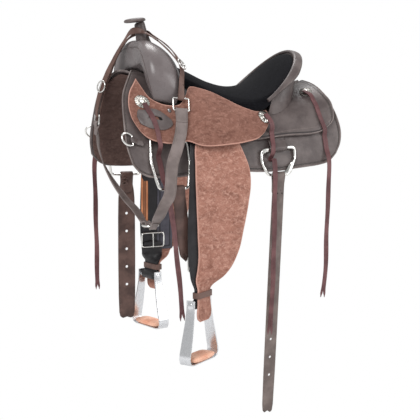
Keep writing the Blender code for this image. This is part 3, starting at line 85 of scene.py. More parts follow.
# %% Camera
CAMERA_AT = (-1.2175, -3.0133, 0.150)
CAMERA_TURN = (82.55, 0.0, -22.0)
LENS = 95.06


def linked(name, data):
    """A new object in the scene."""
    made = bpy.data.objects.new(name, data)
    bpy.context.scene.collection.objects.link(made)
    return made


camera_data = bpy.data.cameras.new("camera")
camera_data.lens = LENS
camera_data.sensor_width = 36.0
camera = linked("camera", camera_data)
camera.location = CAMERA_AT
camera.rotation_euler = [math.radians(v) for v in CAMERA_TURN]
bpy.context.scene.camera = camera
bpy.context.scene.view_settings.view_transform = "Standard"

# %% Floor, sky and lamps
FLOOR_DROP = 0.02
FLOOR_SIZE = 14.0
LAMPS_LOOK_AT = (0.0, 0.0, -0.1)
SKY_LIGHT, SKY_SEEN = 0.55, 1.0


def linear(*rgb):
    """A colour given as it is seen, from 0 to 255, as the light that makes it."""
    return tuple(((v / 255 + 0.055) / 1.055) ** 2.4 if v > 10 else v / 255 / 12.92 for v in rgb)


def plain(name, colour, rough):
    made = bpy.data.materials.new(name)
    made.use_nodes = True
    shader = made.node_tree.nodes["Principled BSDF"]
    shader.inputs["Base Color"].default_value = (*colour, 1)
    shader.inputs["Roughness"].default_value = rough
    return made


def add_floor():
    half, low = FLOOR_SIZE / 2, start_bounds[0][2] - FLOOR_DROP
    mesh = bpy.data.meshes.new("floor")
    corners = [(-half, -half, low), (half, -half, low), (half, half, low), (-half, half, low)]
    mesh.from_pydata(corners, [], [(0, 1, 2, 3)])
    mesh.materials.append(plain("floor white", (0.85, 0.85, 0.85), 0.9))
    made = linked("floor", mesh)
    made.visible_camera = False
    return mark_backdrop(made)


def add_lamp(name, place, size, power):
    data = bpy.data.lights.new(name, "AREA")
    data.shape = "RECTANGLE"
    data.size, data.size_y = size
    data.energy = power
    made = linked(name, data)
    made.location = place
    made.rotation_euler = (Vector(LAMPS_LOOK_AT) - Vector(place)).to_track_quat("-Z", "Y").to_euler()


def add_sky():
    """White where the camera looks, and a soft grey light elsewhere."""
    world = bpy.data.worlds.new("sky")
    bpy.context.scene.world = world
    world.use_nodes = True
    tree = world.node_tree
    tree.nodes.clear()
    out = tree.nodes.new("ShaderNodeOutputWorld")
    mix = tree.nodes.new("ShaderNodeMixShader")
    path = tree.nodes.new("ShaderNodeLightPath")
    tree.links.new(path.outputs["Is Camera Ray"], mix.inputs["Fac"])
    for spot, strength in ((1, SKY_LIGHT), (2, SKY_SEEN)):
        glow = tree.nodes.new("ShaderNodeBackground")
        glow.inputs["Color"].default_value = (1, 1, 1, 1)
        glow.inputs["Strength"].default_value = strength
        tree.links.new(glow.outputs["Background"], mix.inputs[spot])
    tree.links.new(mix.outputs["Shader"], out.inputs["Surface"])


add_sky()
add_floor()
add_lamp("key", (-2.6, -2.4, 2.4), (1.8, 1.8), 95)
add_lamp("fill", (2.6, -2.6, 0.9), (1.6, 2.2), 42)
add_lamp("top", (0.3, 1.2, 2.4), (1.6, 1.2), 40)
print("camera, sky, floor and 3 lamps")

# %% [markdown]
# ## The form under the leathers
#
# A saddler fits every layer over a wooden form of the horse's back. The same idea is used here: a place on the
# form is x along the spine, s down the side from the spine, and d above the horse, so that a leather keeps its
# thickness wherever it bends.

# %% Curves and the form
BACK = (
    (-0.36, 0.165, 0.0, 64.0, 0.115),
    (-0.28, 0.143, 0.0, 66.0, 0.125),
    (-0.18, 0.097, 2.0, 72.0, 0.190),
    (-0.05, 0.047, 5.0, 81.0, 0.285),
    (0.08, 0.030, 6.0, 81.0, 0.290),
    (0.20, 0.050, 8.0, 78.0, 0.265),
    (0.36, 0.100, 9.0, 74.0, 0.230),
)
ARC_LENGTH = 0.42
SECTIONS = {}


def through(x, points):
    """The smooth curve through points in rising x."""
    xs = np.array([p[0] for p in points], float)
    ys = np.array([p[1] for p in points], float)
    slopes = np.gradient(ys, xs)
    x = np.clip(x, xs[0], xs[-1])
    i = np.clip(np.searchsorted(xs, x) - 1, 0, len(xs) - 2)
    h = xs[i + 1] - xs[i]
    t = (x - xs[i]) / h
    rise = (2 * t**3 - 3 * t**2 + 1) * ys[i] + (3 * t**2 - 2 * t**3) * ys[i + 1]
    return rise + h * ((t**3 - 2 * t**2 + t) * slopes[i] + (t**3 - t**2) * slopes[i + 1])


def step(t):
    """0 to 1 with soft ends."""
    t = np.clip(t, 0.0, 1.0)
    return t * t * (3 - 2 * t)


def section(x):
    """The form's half section at x: arcs, half widths, heights and slopes."""
    key = round(float(x), 5)
    if key not in SECTIONS:
        apex, top, low, arc = (through(x, [(row[0], row[k]) for row in BACK]) for k in (1, 2, 3, 4))
        s = np.linspace(0.0, ARC_LENGTH, 169)
        slope = np.radians(top + (low - top) * step(s / arc))
        ds = s[1] - s[0]
        out = np.concatenate([[0.0], np.cumsum((np.cos(slope[1:]) + np.cos(slope[:-1])) * ds / 2)])
        down = np.concatenate([[0.0], np.cumsum((np.sin(slope[1:]) + np.sin(slope[:-1])) * ds / 2)])
        SECTIONS[key] = s, out, apex - down, slope
    return SECTIONS[key]


def skin(x, s, d, side):
    """The point at x along the spine, s down the side and d above the horse."""
    arcs, out, height, slope = section(x)
    a = abs(s)
    lean = np.interp(a, arcs, slope)
    if s < 0:
        side = -side
    return Vector((x, side * (np.interp(a, arcs, out) + d * math.sin(lean)),
                   np.interp(a, arcs, height) + d * math.cos(lean)))


def height_over(x, y, d):
    """The height at x, y of a sheet that lies d above the horse."""
    _, out, height, slope = section(x)
    return float(np.interp(abs(y), out + d * np.sin(slope), height + d * np.cos(slope)))


def heading(path, i):
    """The direction of a path at one of its points."""
    return (path[min(i + 1, len(path) - 1)] - path[max(i - 1, 0)]).normalized()


def around(count):
    """So many angles, evenly round a circle."""
    return [2 * math.pi * k / count for k in range(count)]


def powered(value, power):
    """A power that keeps the sign, which squares a circle off."""
    return math.copysign(abs(value) ** power, value)


def pointed(way):
    """The turn that lays Z along a way."""
    return Vector(way).to_track_quat("Z", "X").to_matrix().to_4x4()


def distances(p):
    """How far along a path each of its points lies."""
    return np.concatenate([[0], np.cumsum(np.linalg.norm(np.diff(p, axis=0), axis=1))])


def grids(places, spot):
    """Three grids over the same places: spot gives an inner point, an outer point and the distance from the edge."""
    cells = [[spot(*place) for place in row] for row in places]
    return [[[cell[k] for cell in row] for row in cells] for k in range(3)]


def smooth_path(points, at):
    """Places along the smooth curve through points: so many evenly spread, or at the given parts of its length."""
    p = np.array(points, float)
    if len(p) > 2:
        ends = np.vstack([2 * p[0] - p[1], p, 2 * p[-1] - p[-2]])
        fine = []
        for i in range(len(p) - 1):
            a, b, c, e = ends[i:i + 4]
            for t in np.linspace(0, 1, 16, endpoint=False):
                fine.append(0.5 * (2 * b + (c - a) * t + (2 * a - 5 * b + 4 * c - e) * t**2
                                   + (3 * b - a - 3 * c + e) * t**3))
        p = np.array(fine + [p[-1]])
    run = distances(p)
    at = np.linspace(0, 1, at) if isinstance(at, int) else np.array(at)
    return np.stack([np.interp(at * run[-1], run, p[:, k]) for k in range(p.shape[1])], 1)


def length_of(points):
    p = np.array(points, float)
    return float(np.linalg.norm(np.diff(p, axis=0), axis=1).sum())


def eased(length, count):
    """Parts of a length, close together near both ends, where a leather's edge is rounded and creased."""
    near = [0.0, 0.0007, 0.0016, 0.003, 0.0055, 0.0075, 0.0085, 0.0100, 0.013]
    near = [v / length for v in near]
    middle = np.linspace(near[-1], 1 - near[-1], count)[1:-1]
    return np.array(near + list(middle) + [1 - v for v in near[::-1]])


def patch(ridge, hem, front, rear, across, down):
    """(x, s) and the distance to the nearest edge, between four edges that meet at their ends."""
    us, vs = eased(length_of(ridge), across), eased(length_of(front), down)
    top, low = smooth_path(ridge, us), smooth_path(hem, us)
    left, right = smooth_path(front, vs), smooth_path(rear, vs)
    grid, edge = np.zeros((len(us), len(vs), 2)), np.zeros((len(us), len(vs)))
    wide = (length_of(ridge) + length_of(hem)) / 2
    for i, u in enumerate(us):
        tall = float(np.linalg.norm(top[i] - low[i]))
        for j, v in enumerate(vs):
            edges = (1 - v) * top[i] + v * low[i] + (1 - u) * left[j] + u * right[j]
            corners = (1 - u) * (1 - v) * top[0] + u * (1 - v) * top[-1] + (1 - u) * v * low[0] + u * v * low[-1]
            grid[i, j] = edges - corners
            edge[i, j] = min(u * wide, (1 - u) * wide, v * tall, (1 - v) * tall)
    return grid, edge


# %% [markdown]
# ## Surfaces
#
# Tanned leather has a fine pebble, a broken sheen and slow changes of tone. Suede has no sheen, but streaks where
# the nap lies one way or the other, and a paler cut edge. Metal is either polished, or brushed along its length.
# Each material here is made from noise in the object's own measure, so a grain of a millimetre stays a millimetre.

# %% Materials
CREASE_FROM, CREASE_TO, CREASE_SHADE = (0.0052, 0.0078), (0.0092, 0.0120), 0.32
RAW_WIDTH = 0.0040


def added(tree, kind, values, links):
    """A new shader node, some of its inputs given values and others linked."""
    made = tree.nodes.new("ShaderNode" + kind)
    for spot, value in values.items():
        made.inputs[spot].default_value = value
    for spot, source in links.items():
        tree.links.new(source, made.inputs[spot])
    return made


def mixed(tree, factor, low, high):
    """A colour between two, by a factor."""
    mix = tree.nodes.new("ShaderNodeMix")
    mix.data_type = "RGBA"
    tree.links.new(factor, mix.inputs["Factor"])
    for spot, value in ((6, low), (7, high)):
        if isinstance(value, tuple):
            mix.inputs[spot].default_value = (*value, 1)
        else:
            tree.links.new(value, mix.inputs[spot])
    return mix.outputs[2]


def noise(tree, where, scale, detail=4.0, rough=0.55, twist=0.0):
    values = {"Scale": scale, "Detail": detail, "Roughness": rough, "Distortion": twist}
    return added(tree, "TexNoise", values, {"Vector": where}).outputs["Fac"]


def ramp(tree, value, low, high):
    """0 below low and 1 above high."""
    made = added(tree, "MapRange", {"From Min": low, "From Max": high}, {"Value": value})
    made.interpolation_type = "SMOOTHSTEP"
    return made.outputs["Result"]


def bumped(tree, height, depth, under=None):
    links = {"Height": height} if under is None else {"Height": height, "Normal": under}
    return added(tree, "Bump", {"Strength": 1.0, "Distance": depth}, links).outputs["Normal"]


def started(name, rough, metal=0.0):
    made = bpy.data.materials.new(name)
    made.use_nodes = True
    tree = made.node_tree
    shader = tree.nodes["Principled BSDF"]
    shader.inputs["Roughness"].default_value = rough
    shader.inputs["Metallic"].default_value = metal
    where = tree.nodes.new("ShaderNodeTexCoord").outputs["Object"]
    return made, tree, shader, where


def edge_distance(tree):
    """How far a point lies from the leather's edge."""
    given = tree.nodes.new("ShaderNodeAttribute")
    given.attribute_name = "edge"
    return given.outputs["Fac"]


def stretched(tree, where, scale, turn=(0.0, 0.0, 0.0)):
    return added(tree, "Mapping", {"Rotation": turn, "Scale": scale}, {"Vector": where}).outputs["Vector"]


def glossed(tree, shader, value, low, high):
    """A roughness that wanders between low and high."""
    made = added(tree, "MapRange", {"To Min": low, "To Max": high}, {"Value": value})
    tree.links.new(made.outputs["Result"], shader.inputs["Roughness"])


def smooth_leather(name, dark, light, rough=0.42, grain=0.00010, cells=900.0, crease=0.0004):
    """Finished leather: a pebble of fine cells over slow creases, its tone drifting between dark and light, and a
    shadow in the crease that runs inside a sewn edge."""
    made, tree, shader, where = started(name, rough)
    colour = mixed(tree, ramp(tree, noise(tree, where, 22.0, 5.0), 0.35, 0.68), dark, light)
    from_edge = edge_distance(tree)
    inside, beyond = ramp(tree, from_edge, *CREASE_FROM), ramp(tree, from_edge, *CREASE_TO)
    shadow = tuple(v * CREASE_SHADE for v in dark)
    colour = mixed(tree, inside, colour, mixed(tree, beyond, shadow, colour))
    tree.links.new(colour, shader.inputs["Base Color"])
    pebble = added(tree, "TexVoronoi", {"Scale": cells}, {"Vector": where})
    creases = bumped(tree, noise(tree, where, 120.0, 6.0, 0.6, 0.6), crease)
    tree.links.new(bumped(tree, pebble.outputs["Distance"], grain, creases), shader.inputs["Normal"])
    glossed(tree, shader, noise(tree, where, 60.0, 3.0), rough - 0.06, rough + 0.10)
    shader.inputs["Specular IOR Level"].default_value = 0.45
    return made


def suede(name, dark, middle, light, edge, sheen=0.15, streak=34.0):
    """Brushed leather: streaks of lighter and darker nap, short hairs, no shine and a paler cut edge."""
    made, tree, shader, where = started(name, 0.92)
    way = stretched(tree, where, (0.72, 1.0, 1.0), (0.0, 0.30, 0.0))
    colour = mixed(tree, ramp(tree, noise(tree, way, streak, 9.0, 0.80, 0.8), 0.30, 0.58), dark, middle)
    colour = mixed(tree, ramp(tree, noise(tree, way, streak * 3.4, 9.0, 0.80, 0.8), 0.44, 0.72), colour, light)
    if edge:
        colour = mixed(tree, ramp(tree, edge_distance(tree), RAW_WIDTH * 0.3, RAW_WIDTH), edge, colour)
    tree.links.new(colour, shader.inputs["Base Color"])
    nap = bumped(tree, noise(tree, way, streak * 4.0, 6.0, 0.6, 0.6), 0.0007)
    tree.links.new(bumped(tree, noise(tree, where, 1400.0, 2.0), 0.00025, nap), shader.inputs["Normal"])
    shader.inputs["Sheen Weight"].default_value = sheen
    shader.inputs["Sheen Roughness"].default_value = 0.6
    shader.inputs["Sheen Tint"].default_value = (*light, 1)
    shader.inputs["Specular IOR Level"].default_value = 0.15
    return made


def metal(name, colour, rough, brushed=None, dark=0.75):
    """Polished or brushed metal, slightly dulled in patches. brushed is the scale of the brush marks along X, Y, Z."""
    made, tree, shader, where = started(name, rough, 1.0)
    tarnish = tuple(v * dark for v in colour)
    patches = ramp(tree, noise(tree, where, 90.0, 4.0), 0.30, 0.55)
    tree.links.new(mixed(tree, patches, tarnish, colour), shader.inputs["Base Color"])
    if brushed:
        marks = noise(tree, stretched(tree, where, brushed), 1.0, 3.0)
        tree.links.new(bumped(tree, marks, 0.00004), shader.inputs["Normal"])
        glossed(tree, shader, marks, rough - 0.08, rough + 0.12)
    return made


RAW = linear(196, 150, 136)
LOOKS = {
    "smooth": smooth_leather("taupe leather", linear(80, 70, 69), linear(102, 92, 90), 0.36),
    # painted highlight: a lighter copy of the taupe leather, for the light that the rolled edges catch
    "rolled": smooth_leather("rolled edge", linear(104, 93, 90), linear(132, 120, 117), 0.34),
    "swell": smooth_leather("swell leather", linear(106, 98, 98), linear(116, 108, 108), 0.27, 0.00003, crease=0.0001),
    "suede": suede("fender suede", linear(116, 76, 64), linear(162, 115, 100), linear(206, 162, 146), RAW),
    "jockey": suede("jockey suede", linear(96, 63, 54), linear(130, 91, 79), linear(166, 126, 112), RAW),
    "seat": suede("black suede", linear(6, 6, 9), linear(12, 12, 16), linear(24, 24, 29), None, 0.08, 40.0),
    "lining": suede("dark lining", linear(64, 48, 44), linear(88, 69, 64), linear(108, 88, 82), None, 0.05),
    "strap": smooth_leather("dark strap leather", linear(66, 47, 42), linear(98, 74, 67), 0.45),
    "black": smooth_leather("black leather", linear(22, 20, 23), linear(36, 34, 37), 0.40),
    "billet": smooth_leather("taupe strap leather", linear(100, 88, 84), linear(126, 113, 108), 0.42),
    "collar": smooth_leather("grey strap leather", linear(106, 95, 92), linear(132, 120, 117), 0.46),
    "wither": smooth_leather("brown strap leather", linear(86, 62, 55), linear(112, 85, 76), 0.46),
    "string": smooth_leather("red brown lace", linear(84, 50, 52), linear(112, 74, 75), 0.50, cells=1500.0),
    "slate": smooth_leather("slate facing", linear(58, 57, 66), linear(80, 78, 88), 0.60),
    "amber": smooth_leather("tan facing", linear(176, 110, 72), linear(208, 138, 96), 0.55),
    "tread": smooth_leather("tan tread leather", linear(238, 170, 140), linear(251, 198, 170), 0.50, cells=1300.0),
    "tree": smooth_leather("dark ground leather", linear(30, 25, 24), linear(42, 35, 33), 0.60),
    "steel": metal("polished steel", (0.84, 0.83, 0.80), 0.20, dark=0.90),
    "aluminium": metal("brushed aluminium", (0.74, 0.75, 0.77), 0.24, (400.0, 400.0, 20.0), 0.94),
    "thread": plain("taupe thread", linear(146, 132, 124), 0.8),
    # near black: painted shade in the keeper's slot and the wither strap's holes; the flank lacing knots use it too
    "hole": plain("punched hole", linear(14, 10, 9), 0.9),
    "screw": metal("dark screw", (0.30, 0.29, 0.30), 0.35),
    "rosette": metal("aged silver", (0.56, 0.54, 0.50), 0.30, dark=0.25),
}
print("materials", len(LOOKS))

# %% [markdown]
# ## Making pieces
#
# Three small helpers carry the whole lesson. The first takes a measured part over as it is, welds it and gives it
# its finish. The second lays a leather on the form, with a rounded edge and a creased line inside it. The third
# sews along that line with short raised stitches, as a saddler's machine does.

# %% Taking over a measured part
BODY_OF = {node: body for body, held in frame["record"]["behaviour"]["bodies"].items() for node in held}


def put(mesh, name, look, slot, body, node=None, sharp=45.0):
    """A new object on its body, in its material, in place of the node if one is given."""
    mesh.shade_smooth()
    mesh.set_sharp_from_angle(angle=math.radians(sharp))
    mesh.materials.clear()
    mesh.materials.append(LOOKS[look])
    made = linked(name, mesh)
    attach(made, body)
    if node:
        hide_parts(node)
    return made


def mesh_of(work, name):
    """The finished mesh of a working one."""
    mesh = bpy.data.meshes.new(name)
    work.to_mesh(mesh)
    work.free()
    return mesh


def welded(node):
    """A copy of a measured part's mesh with its loose points joined."""
    work = bmesh.new()
    work.from_mesh(nodes[node].data)
    bmesh.ops.remove_doubles(work, verts=work.verts, dist=0.00002)
    bmesh.ops.dissolve_limit(work, angle_limit=math.radians(0.5), verts=work.verts, edges=work.edges)
    return mesh_of(work, node + "_fine")


def fine(node, look, slot, round_by=0.0, smooth=0, sharp=45.0):
    """A measured part taken over, with its edges rounded or its surface smoothed."""
    made = put(welded(node), node + "_fine", look, slot, BODY_OF[node], node, sharp)
    if round_by:
        bevel = made.modifiers.new("rounded edges", "BEVEL")
        bevel.width = round_by
        bevel.segments = 2
        bevel.limit_method = "ANGLE"
        bevel.angle_limit = math.radians(40)
        bevel.harden_normals = False
    if smooth:
        soft = made.modifiers.new("smooth", "SUBSURF")
        soft.levels = soft.render_levels = smooth
    return made


# %% A leather laid on a place, and its stitches
CREASE_AT, CREASE_WIDTH = 0.0085, 0.0012


def between(inner, outer, edge, name):
    """A closed sheet between two grids of points, which remembers each point's distance from the edge."""
    across, down = len(inner), len(inner[0])
    work = bmesh.new()
    layer = work.verts.layers.float.new("edge")
    sheets = []
    for grid in (inner, outer):
        rows = []
        for i, row in enumerate(grid):
            rows.append([work.verts.new(p) for p in row])
            for j, v in enumerate(rows[-1]):
                v[layer] = float(edge[i][j])
        sheets.append(rows)
    low, top = sheets
    for i in range(across - 1):
        for j in range(down - 1):
            work.faces.new((low[i][j], low[i][j + 1], low[i + 1][j + 1], low[i + 1][j]))
            work.faces.new((top[i][j], top[i + 1][j], top[i + 1][j + 1], top[i][j + 1]))
    rim = ([(i, 0) for i in range(across)] + [(across - 1, j) for j in range(1, down)]
           + [(i, down - 1) for i in range(across - 2, -1, -1)] + [(0, j) for j in range(down - 2, 0, -1)])
    for (i, j), (k, m) in zip(rim, rim[1:] + rim[:1]):
        work.faces.new((low[i][j], low[k][m], top[k][m], top[i][j]))
    bmesh.ops.recalc_face_normals(work, faces=work.faces)
    return mesh_of(work, name)


def falling(e, roll):
    """How far a rounded edge has fallen at a distance e from it: 1 at the very edge, 0 past the roll."""
    return 1 - math.sqrt(max(0.0, 1 - (1 - min(e / roll, 1.0)) ** 2))


def creased(e, depth):
    """The depth of the creased line that runs inside an edge."""
    return depth * math.exp(-((e - CREASE_AT) / CREASE_WIDTH) ** 2)


def laid(name, look, slot, body, grid, edge, low, thick, place, node=None, crease=0.0007, roll=0.0018):
    """A leather on its place, rounded over its last millimetres and creased 8.5 mm inside its edge."""
    def spot(x, s, e):
        base, fall = low(x, s), falling(e, roll)
        return (place(x, s, base + fall * thick * 0.30),
                place(x, s, base + thick - fall * thick * 0.45 - creased(e, crease)), e)

    sheet = grids([[(x, s, e) for (x, s), e in zip(row, far)] for row, far in zip(grid, edge)], spot)
    put(between(*sheet, name), name, look, slot, body, node, 60.0)
    return sheet[1]


def loop_inside(outer, index=6):
    """The line a set number of rows inside the edge of a grid."""
    a, b = index, len(outer) - 1 - index
    c, d = index, len(outer[0]) - 1 - index
    line = [outer[i][c] for i in range(a, b)] + [outer[b][j] for j in range(c, d)]
    return line + [outer[i][d] for i in range(b, a, -1)] + [outer[a][j] for j in range(d, c - 1, -1)]


def lofted(rings, name, closed=False):
    """A skin through rings of equal count, with its ends shut."""
    count = len(rings[0])
    verts = [tuple(p) for ring in rings for p in ring]
    faces = []
    for i in range(len(rings) if closed else len(rings) - 1):
        a, b = i * count, (i + 1) % len(rings) * count
        faces += [(a + k, a + (k + 1) % count, b + (k + 1) % count, b + k) for k in range(count)]
    if not closed:
        faces += [tuple(range(count)), tuple(range((len(rings) - 1) * count, len(rings) * count))]
    mesh = bpy.data.meshes.new(name)
    mesh.from_pydata(verts, [], faces)
    work = bmesh.new()
    work.from_mesh(mesh)
    bmesh.ops.recalc_face_normals(work, faces=work.faces)
    work.to_mesh(mesh)
    work.free()
    return mesh


def tube(points, radius, name, sides=8, closed=False, sizes=None):
    """A round cord of leather or wire along points."""
    points = [Vector(p) for p in points]
    count, rings, normal = len(points), [], None
    for i, p in enumerate(points):
        if closed:
            run = points[(i + 1) % count] - points[i - 1]
        else:
            run = points[min(i + 1, count - 1)] - points[max(i - 1, 0)]
        run.normalize()
        if normal is None:
            normal = run.orthogonal().normalized()
        normal = (normal - run * normal.dot(run)).normalized()
        wide = run.cross(normal)
        r = radius * (sizes[i] if sizes else 1.0)
        rings.append([p + (normal * math.cos(a) + wide * math.sin(a)) * r for a in around(sides)])
    return lofted(rings, name, closed)


STITCH = (0.0038, 0.0027, 0.00042)
HEXAGON = ((1, 0), (0.5, 0.87), (-0.5, 0.87), (-1, 0), (-0.5, -0.87), (0.5, -0.87))


def sewn(name, lines, body, slot="strap_leather"):
    """Stitches along lines of surface points: one short rounded thread every pitch."""
    pitch, long, thick = STITCH
    verts, faces = [], []
    for line in lines:
        p = np.array([tuple(q) for q in line], float)
        run = distances(p)
        for t in np.arange(pitch, run[-1] - pitch, pitch):
            a, b = (np.array([np.interp(t + k * long / 2, run, p[:, c]) for c in range(3)]) for k in (-1, 1))
            way = Vector(b - a).normalized()
            wide = way.cross(Vector((0.31, 0.22, 0.92))).normalized()
            up = wide.cross(way)
            start = len(verts)
            for q, size in ((a, 0.45), ((a + b) / 2, 1.0), (b, 0.45)):
                for c, s in HEXAGON:
                    verts.append(Vector(q) + (wide * c + up * s) * thick * size)
            for ring in (0, 6):
                for k in range(6):
                    n = (k + 1) % 6
                    faces.append((start + ring + k, start + ring + n, start + ring + 6 + n, start + ring + 6 + k))
            faces.append(tuple(start + k for k in range(5, -1, -1)))
            faces.append(tuple(start + 12 + k for k in range(6)))
    mesh = bpy.data.meshes.new(name)
    mesh.from_pydata([tuple(v) for v in verts], [], faces)
    put(mesh, name, "thread", slot, body)


def on_form(side):
    return lambda x, s, d: skin(x, s, d, side)


def rolled(name, outer, radius):
    """The soft roll of a doubled edge, laid as a cord on the rows near the edge of a grid. Its lighter leather is a
    painted highlight.
    """
    path = loop_inside(outer, 2)
    put(tube(path + path[:1], radius, name, 10), name, "rolled", "smooth_leather", "saddle")


# %% [markdown]
# ## Skirts, lining and jockeys
#
# The two big skirts carry everything. Their leather is doubled, rolled at the edge and sewn. The suede jockeys lie
# over them beside the seat, with a paler cut edge, and two smooth jockeys cover the back behind the seat.

# %% Skirts, lining and jockeys
LINING, SKIRT, RIGGING, JOCKEY, BAR, REAR_BAR, FIT = 0.006, 0.005, 0.004, 0.0045, 0.018, 0.010, 0.0008
BAR_OUT = 0.124
SKIRT_FRONT = ((-0.262, 0.060), (-0.292, 0.117), (-0.306, 0.160), (-0.312, 0.230), (-0.313, 0.300), (-0.303, 0.350))
SKIRT_HEM = (
    (-0.303, 0.350), (-0.286, 0.367), (-0.262, 0.373), (-0.235, 0.366), (-0.147, 0.335), (-0.050, 0.302),
    (0.032, 0.290), (0.178, 0.291), (0.265, 0.300), (0.292, 0.299), (0.316, 0.284),
)
SKIRT_REAR = ((0.311, 0.035), (0.320, 0.118), (0.332, 0.170), (0.340, 0.222), (0.334, 0.257), (0.316, 0.284))
SKIRT_RIDGE = ((-0.262, 0.060), (-0.220, 0.035), (-0.100, 0.030), (0.120, 0.030), (0.260, 0.030), (0.311, 0.035))
SEAT_JOCKEY = (
    ((-0.263, 0.098), (-0.251, 0.122), (-0.236, 0.146), (-0.212, 0.157), (-0.185, 0.159), (-0.158, 0.154),
     (-0.135, 0.130), (-0.115, 0.104), (-0.089, 0.096), (-0.049, 0.096), (-0.010, 0.112), (0.030, 0.128),
     (0.070, 0.134), (0.116, 0.126)),
    ((-0.281, 0.232), (-0.262, 0.259), (-0.235, 0.271), (-0.193, 0.266), (-0.150, 0.247), (-0.115, 0.249),
     (-0.071, 0.242), (-0.027, 0.233), (0.003, 0.226), (0.056, 0.210), (0.085, 0.192)),
    ((-0.263, 0.098), (-0.284, 0.135), (-0.293, 0.175), (-0.290, 0.210), (-0.281, 0.232)),
    ((0.116, 0.126), (0.115, 0.148), (0.105, 0.170), (0.085, 0.192)),
)
REAR_JOCKEY = (
    ((0.030, 0.128), (0.120, 0.060), (0.200, 0.014), (0.292, 0.006)),
    ((0.034, 0.208), (0.108, 0.201), (0.172, 0.201), (0.262, 0.212), (0.304, 0.200)),
    ((0.030, 0.128), (0.034, 0.208)),
    ((0.292, 0.006), (0.300, 0.060), (0.309, 0.112), (0.320, 0.148), (0.320, 0.182), (0.304, 0.200)),
)
JOCKEY_LIFT = (
    (-0.320, 0.0150), (-0.270, 0.0200), (-0.235, 0.0330), (-0.200, 0.0420), (-0.150, 0.0480), (0.020, 0.0480),
    (0.060, 0.0426), (0.085, 0.0354), (0.110, 0.0323), (0.130, 0.0313),
)


def on_lining(x, s):
    return LINING + FIT


def on_skirt(x, s):
    return LINING + SKIRT + FIT


def bar_top(x):
    return on_skirt(x, 0) + FIT + REAR_BAR + (BAR - REAR_BAR) * (1 - step((x - 0.06) / 0.08))


def under_rear_jockey(x, s):
    flat = on_skirt(x, s) + RIGGING + 2 * FIT
    return flat + (bar_top(x) + 2.5 * FIT - flat) * (1 - step((s - BAR_OUT - 0.006) / 0.05))


def under_seat_jockey(x, s):
    return float(through(x, JOCKEY_LIFT))


skirt_grid, skirt_edge = patch(SKIRT_RIDGE, SKIRT_HEM, SKIRT_FRONT, SKIRT_REAR, 60, 26)
seat_grid, seat_edge = patch(*SEAT_JOCKEY, 52, 20)
rear_grid, rear_edge = patch(*REAR_JOCKEY, 34, 24)
for name, side in SIDES:
    place = on_form(side)
    top = laid("skirt_%s_leather" % name, "smooth", "smooth_leather", "saddle", skirt_grid, skirt_edge, on_lining,
               SKIRT, place, "skirt_" + name, 0.0011, 0.0030)
    sewn("skirt_%s_stitches" % name, [loop_inside(top)], "saddle")
    rolled("skirt_%s_roll" % name, top, 0.0021)
    laid("seat_jockey_%s_suede" % name, "jockey", "suede", "saddle", seat_grid, seat_edge, under_seat_jockey,
         JOCKEY, place, "seat_jockey_" + name, 0.0004)
    top = laid("rear_jockey_%s_leather" % name, "smooth", "smooth_leather", "saddle", rear_grid, rear_edge,
               under_rear_jockey, JOCKEY, place, "rear_jockey_" + name, 0.0009, 0.0028)
    sewn("rear_jockey_%s_stitches" % name, [loop_inside(top)], "saddle")
    rolled("rear_jockey_%s_roll" % name, top, 0.0017)
    fine("lining_" + name, "lining", "lining", smooth=1)
    fine("tree_bar_" + name, "tree", "tree", smooth=1)
print("skirts, jockeys, lining and bars")

# %% [markdown]
# ## Swell, horn, seat and cantle
#
# The swell is covered with one wet-moulded piece of leather, and a welt runs round its foot. The horn's cap is two
# leathers over a plate, sewn together at the rim. The seat is foam under black suede, so it swells between its
# edges, and a broad leather band is rolled over the rim of the cantle.

# %% Swell and horn
SWELL_X, SWELL_END, SWELL_LENGTH, SWELL_HEIGHT = -0.194, 0.150, 0.0525, 0.112
HORN_CAP_AT, HORN_CAP_RADIUS, HORN_CAP_THICK, HORN_CAP_TILT = (-0.228, 0.0, 0.2680), 0.031, 0.013, 7.0


def swell_ring(s, count):
    a = abs(s)
    long = through(a, ((0.0, 0.042), (0.04, 0.046), (0.08, SWELL_LENGTH), (0.115, 0.048), (SWELL_END, 0.030)))
    high = through(a, ((0.0, SWELL_HEIGHT - 0.004), (0.04, SWELL_HEIGHT), (0.08, SWELL_HEIGHT - 0.004),
                       (0.115, 0.088), (0.135, 0.066), (SWELL_END, 0.040)))
    floor, lip = bar_top(SWELL_X) + FIT, on_skirt(SWELL_X, 0) + FIT
    ring = []
    for t in around(count):
        across, up = powered(math.cos(t), 0.85), math.sin(t)
        middle = floor + (high - floor) * 0.50
        forward = float(step((-across - 0.35) / 0.5))
        if up >= 0:
            ring.append((SWELL_X + long * across, middle + (high - middle) * up))
        else:
            low = middle + (middle - (floor + (lip - floor) * forward)) * up
            ring.append((SWELL_X + long * across * (1 + 0.35 * up * (1 - forward)), low))
    return [skin(x, s, d, -1.0) for x, d in ring]


put(lofted([swell_ring(s, 48) for s in np.linspace(-SWELL_END, SWELL_END, 90)], "swell_leather"),
    "swell_leather", "swell", "smooth_leather", "saddle", "swell", 60.0)
WELT_END = 0.128
welt_at = [swell_ring(s, 48) for s in np.linspace(-WELT_END, WELT_END, 90)]
for name, index in (("swell_welt_front", 23), ("swell_welt_back", 47)):
    put(tube([ring[index] for ring in welt_at], 0.0016, name), name, "smooth", "smooth_leather", "saddle")
fine("horn_neck", "smooth", "smooth_leather", smooth=1)


def turned(profile, steps, matrix, name):
    """A profile of (radius, height) spun about Z and put in place, top to bottom."""
    rings = []
    for r, z in profile:
        r = max(r, 0.00002)
        rings.append([matrix @ Vector((r * math.cos(a), r * math.sin(a), z)) for a in around(steps)])
    return lofted(rings, name)


